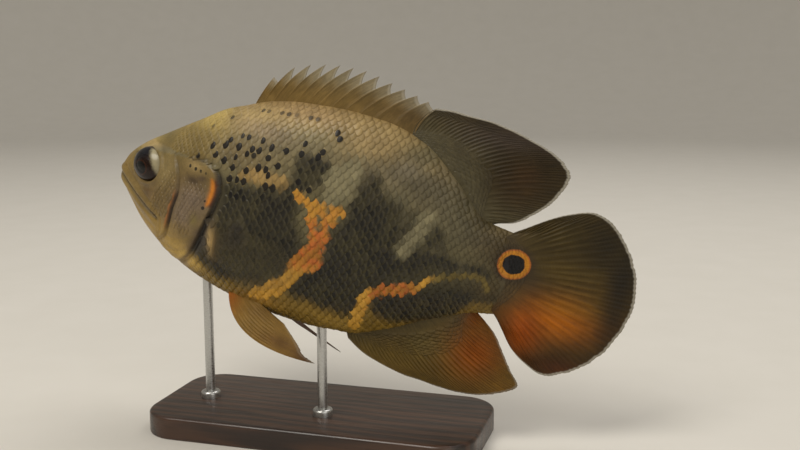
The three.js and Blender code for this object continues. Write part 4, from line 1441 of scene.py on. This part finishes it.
def setting():
    nothing_selected()
    bpy.ops.mesh.primitive_circle_add(vertices=96, radius=FLOOR_RADIUS, fill_type="NGON", location=(0, 0, 0))
    floor = bpy.context.object
    floor.name = "studio_floor"
    bpy.ops.object.mode_set(mode="EDIT")
    bpy.ops.mesh.select_all(action="SELECT")
    bpy.ops.mesh.extrude_region_move(TRANSFORM_OT_translate={"value": (0, 0, WALL_HEIGHT)})
    bpy.ops.mesh.delete(type="ONLY_FACE")
    bpy.ops.mesh.select_all(action="SELECT")
    bpy.ops.mesh.normals_make_consistent(inside=True)
    bpy.ops.object.mode_set(mode="OBJECT")
    round_edges(floor, lambda a, b: max(a.z, b.z) < NEAR and a.length > 2 and b.length > 2, *SWEEP)
    bpy.ops.object.shade_smooth_by_angle(angle=math.radians(40))
    material, t = new_material("studio_paper", Roughness=0.85)
    paper = t.noise(t.object_place(), 30.0, 3.0)
    t.feed(t.surface["Base Color"], t.mix(paper, (206, 202, 194), (212, 208, 201)))
    floor.data.materials.append(material)


def soft_light(name, place, size, power, colour):
    rotation = (Vector(AIM) - Vector(place)).to_track_quat("-Z", "Y").to_euler()
    bpy.ops.object.light_add(type="AREA", location=place, rotation=rotation)
    light = bpy.context.object
    light.name = name
    light.data.shape = "DISK"
    light.data.size = size
    light.data.energy = power
    light.data.color = colour


def lights():
    soft_light("key_light", (-0.5, -0.9, 1.5), 0.9, 17.0, (1.0, 0.96, 0.88))
    soft_light("top_light", (0.3, 0.5, 1.4), 1.0, 9.0, (1.0, 0.97, 0.92))
    soft_light("fill_light", (1.1, -1.0, 0.6), 1.2, 4.0, (1.0, 0.98, 0.94))
    world = bpy.data.worlds.new("studio")
    world.use_nodes = True
    background = world.node_tree.nodes["Background"].inputs
    background["Color"].default_value = (0.95, 0.92, 0.86, 1.0)
    background["Strength"].default_value = 0.32
    bpy.context.scene.world = world


def camera():
    back_way = Vector((
        math.sin(AZIMUTH) * math.cos(ELEVATION), -math.cos(AZIMUTH) * math.cos(ELEVATION), math.sin(ELEVATION)
    ))
    place = Vector(AIM) + back_way * CAMERA_DISTANCE
    bpy.ops.object.camera_add(location=place, rotation=(-back_way).to_track_quat("-Z", "Y").to_euler())
    made = bpy.context.object
    made.name = "photo_camera"
    made.data.lens = LENS
    made.data.sensor_width = 36
    made.data.clip_start = 0.01
    made.data.clip_end = 20
    bpy.context.scene.camera = made


camera()
setting()
lights()
bpy.context.scene.view_settings.view_transform = "Standard"

markings = markings_group()
scale_look = scale_material(markings)
fin_look = fin_material("oscar_fins", markings)
clear_fin_look = fin_material("oscar_pectoral", markings, clear=0.955)
skin(skin_material(markings))
for way_name, way in SIDES:
    over = on_skin(way)
    coat_piece("scales_body_" + way_name, body_roots(), over, unwrapped, body_paint, scale_look, way)
    coat_piece("scales_face_" + way_name, face_roots(), over, unwrapped, body_paint, scale_look, way)
    for fin_name, first, reach in FIN_COATS:
        fan = FINS[fin_name]

        def coat_paint(s, w, h):
            return fin_paint(fin_name, np.stack([s, w, h], -1), 0 * s)

        coat_piece(
            "scales_" + fin_name + "_" + way_name, fin_roots(fan, first, reach), on_fin(fan, way), on_map,
            coat_paint, scale_look, way, plain=True,
        )
for fin_name in FINS:
    fin(fin_name, clear_fin_look if "pectoral" in fin_name else fin_look)
eye_look = eye_material()
for way_name, way in SIDES:
    eye("eye_" + way_name, way, eye_look)
steel = steel_material()
base_top = stand_base(wood_material())
for rod_name in ("stand_rod_front", "stand_rod_rear"):
    stand_rod(rod_name, base_top, steel)
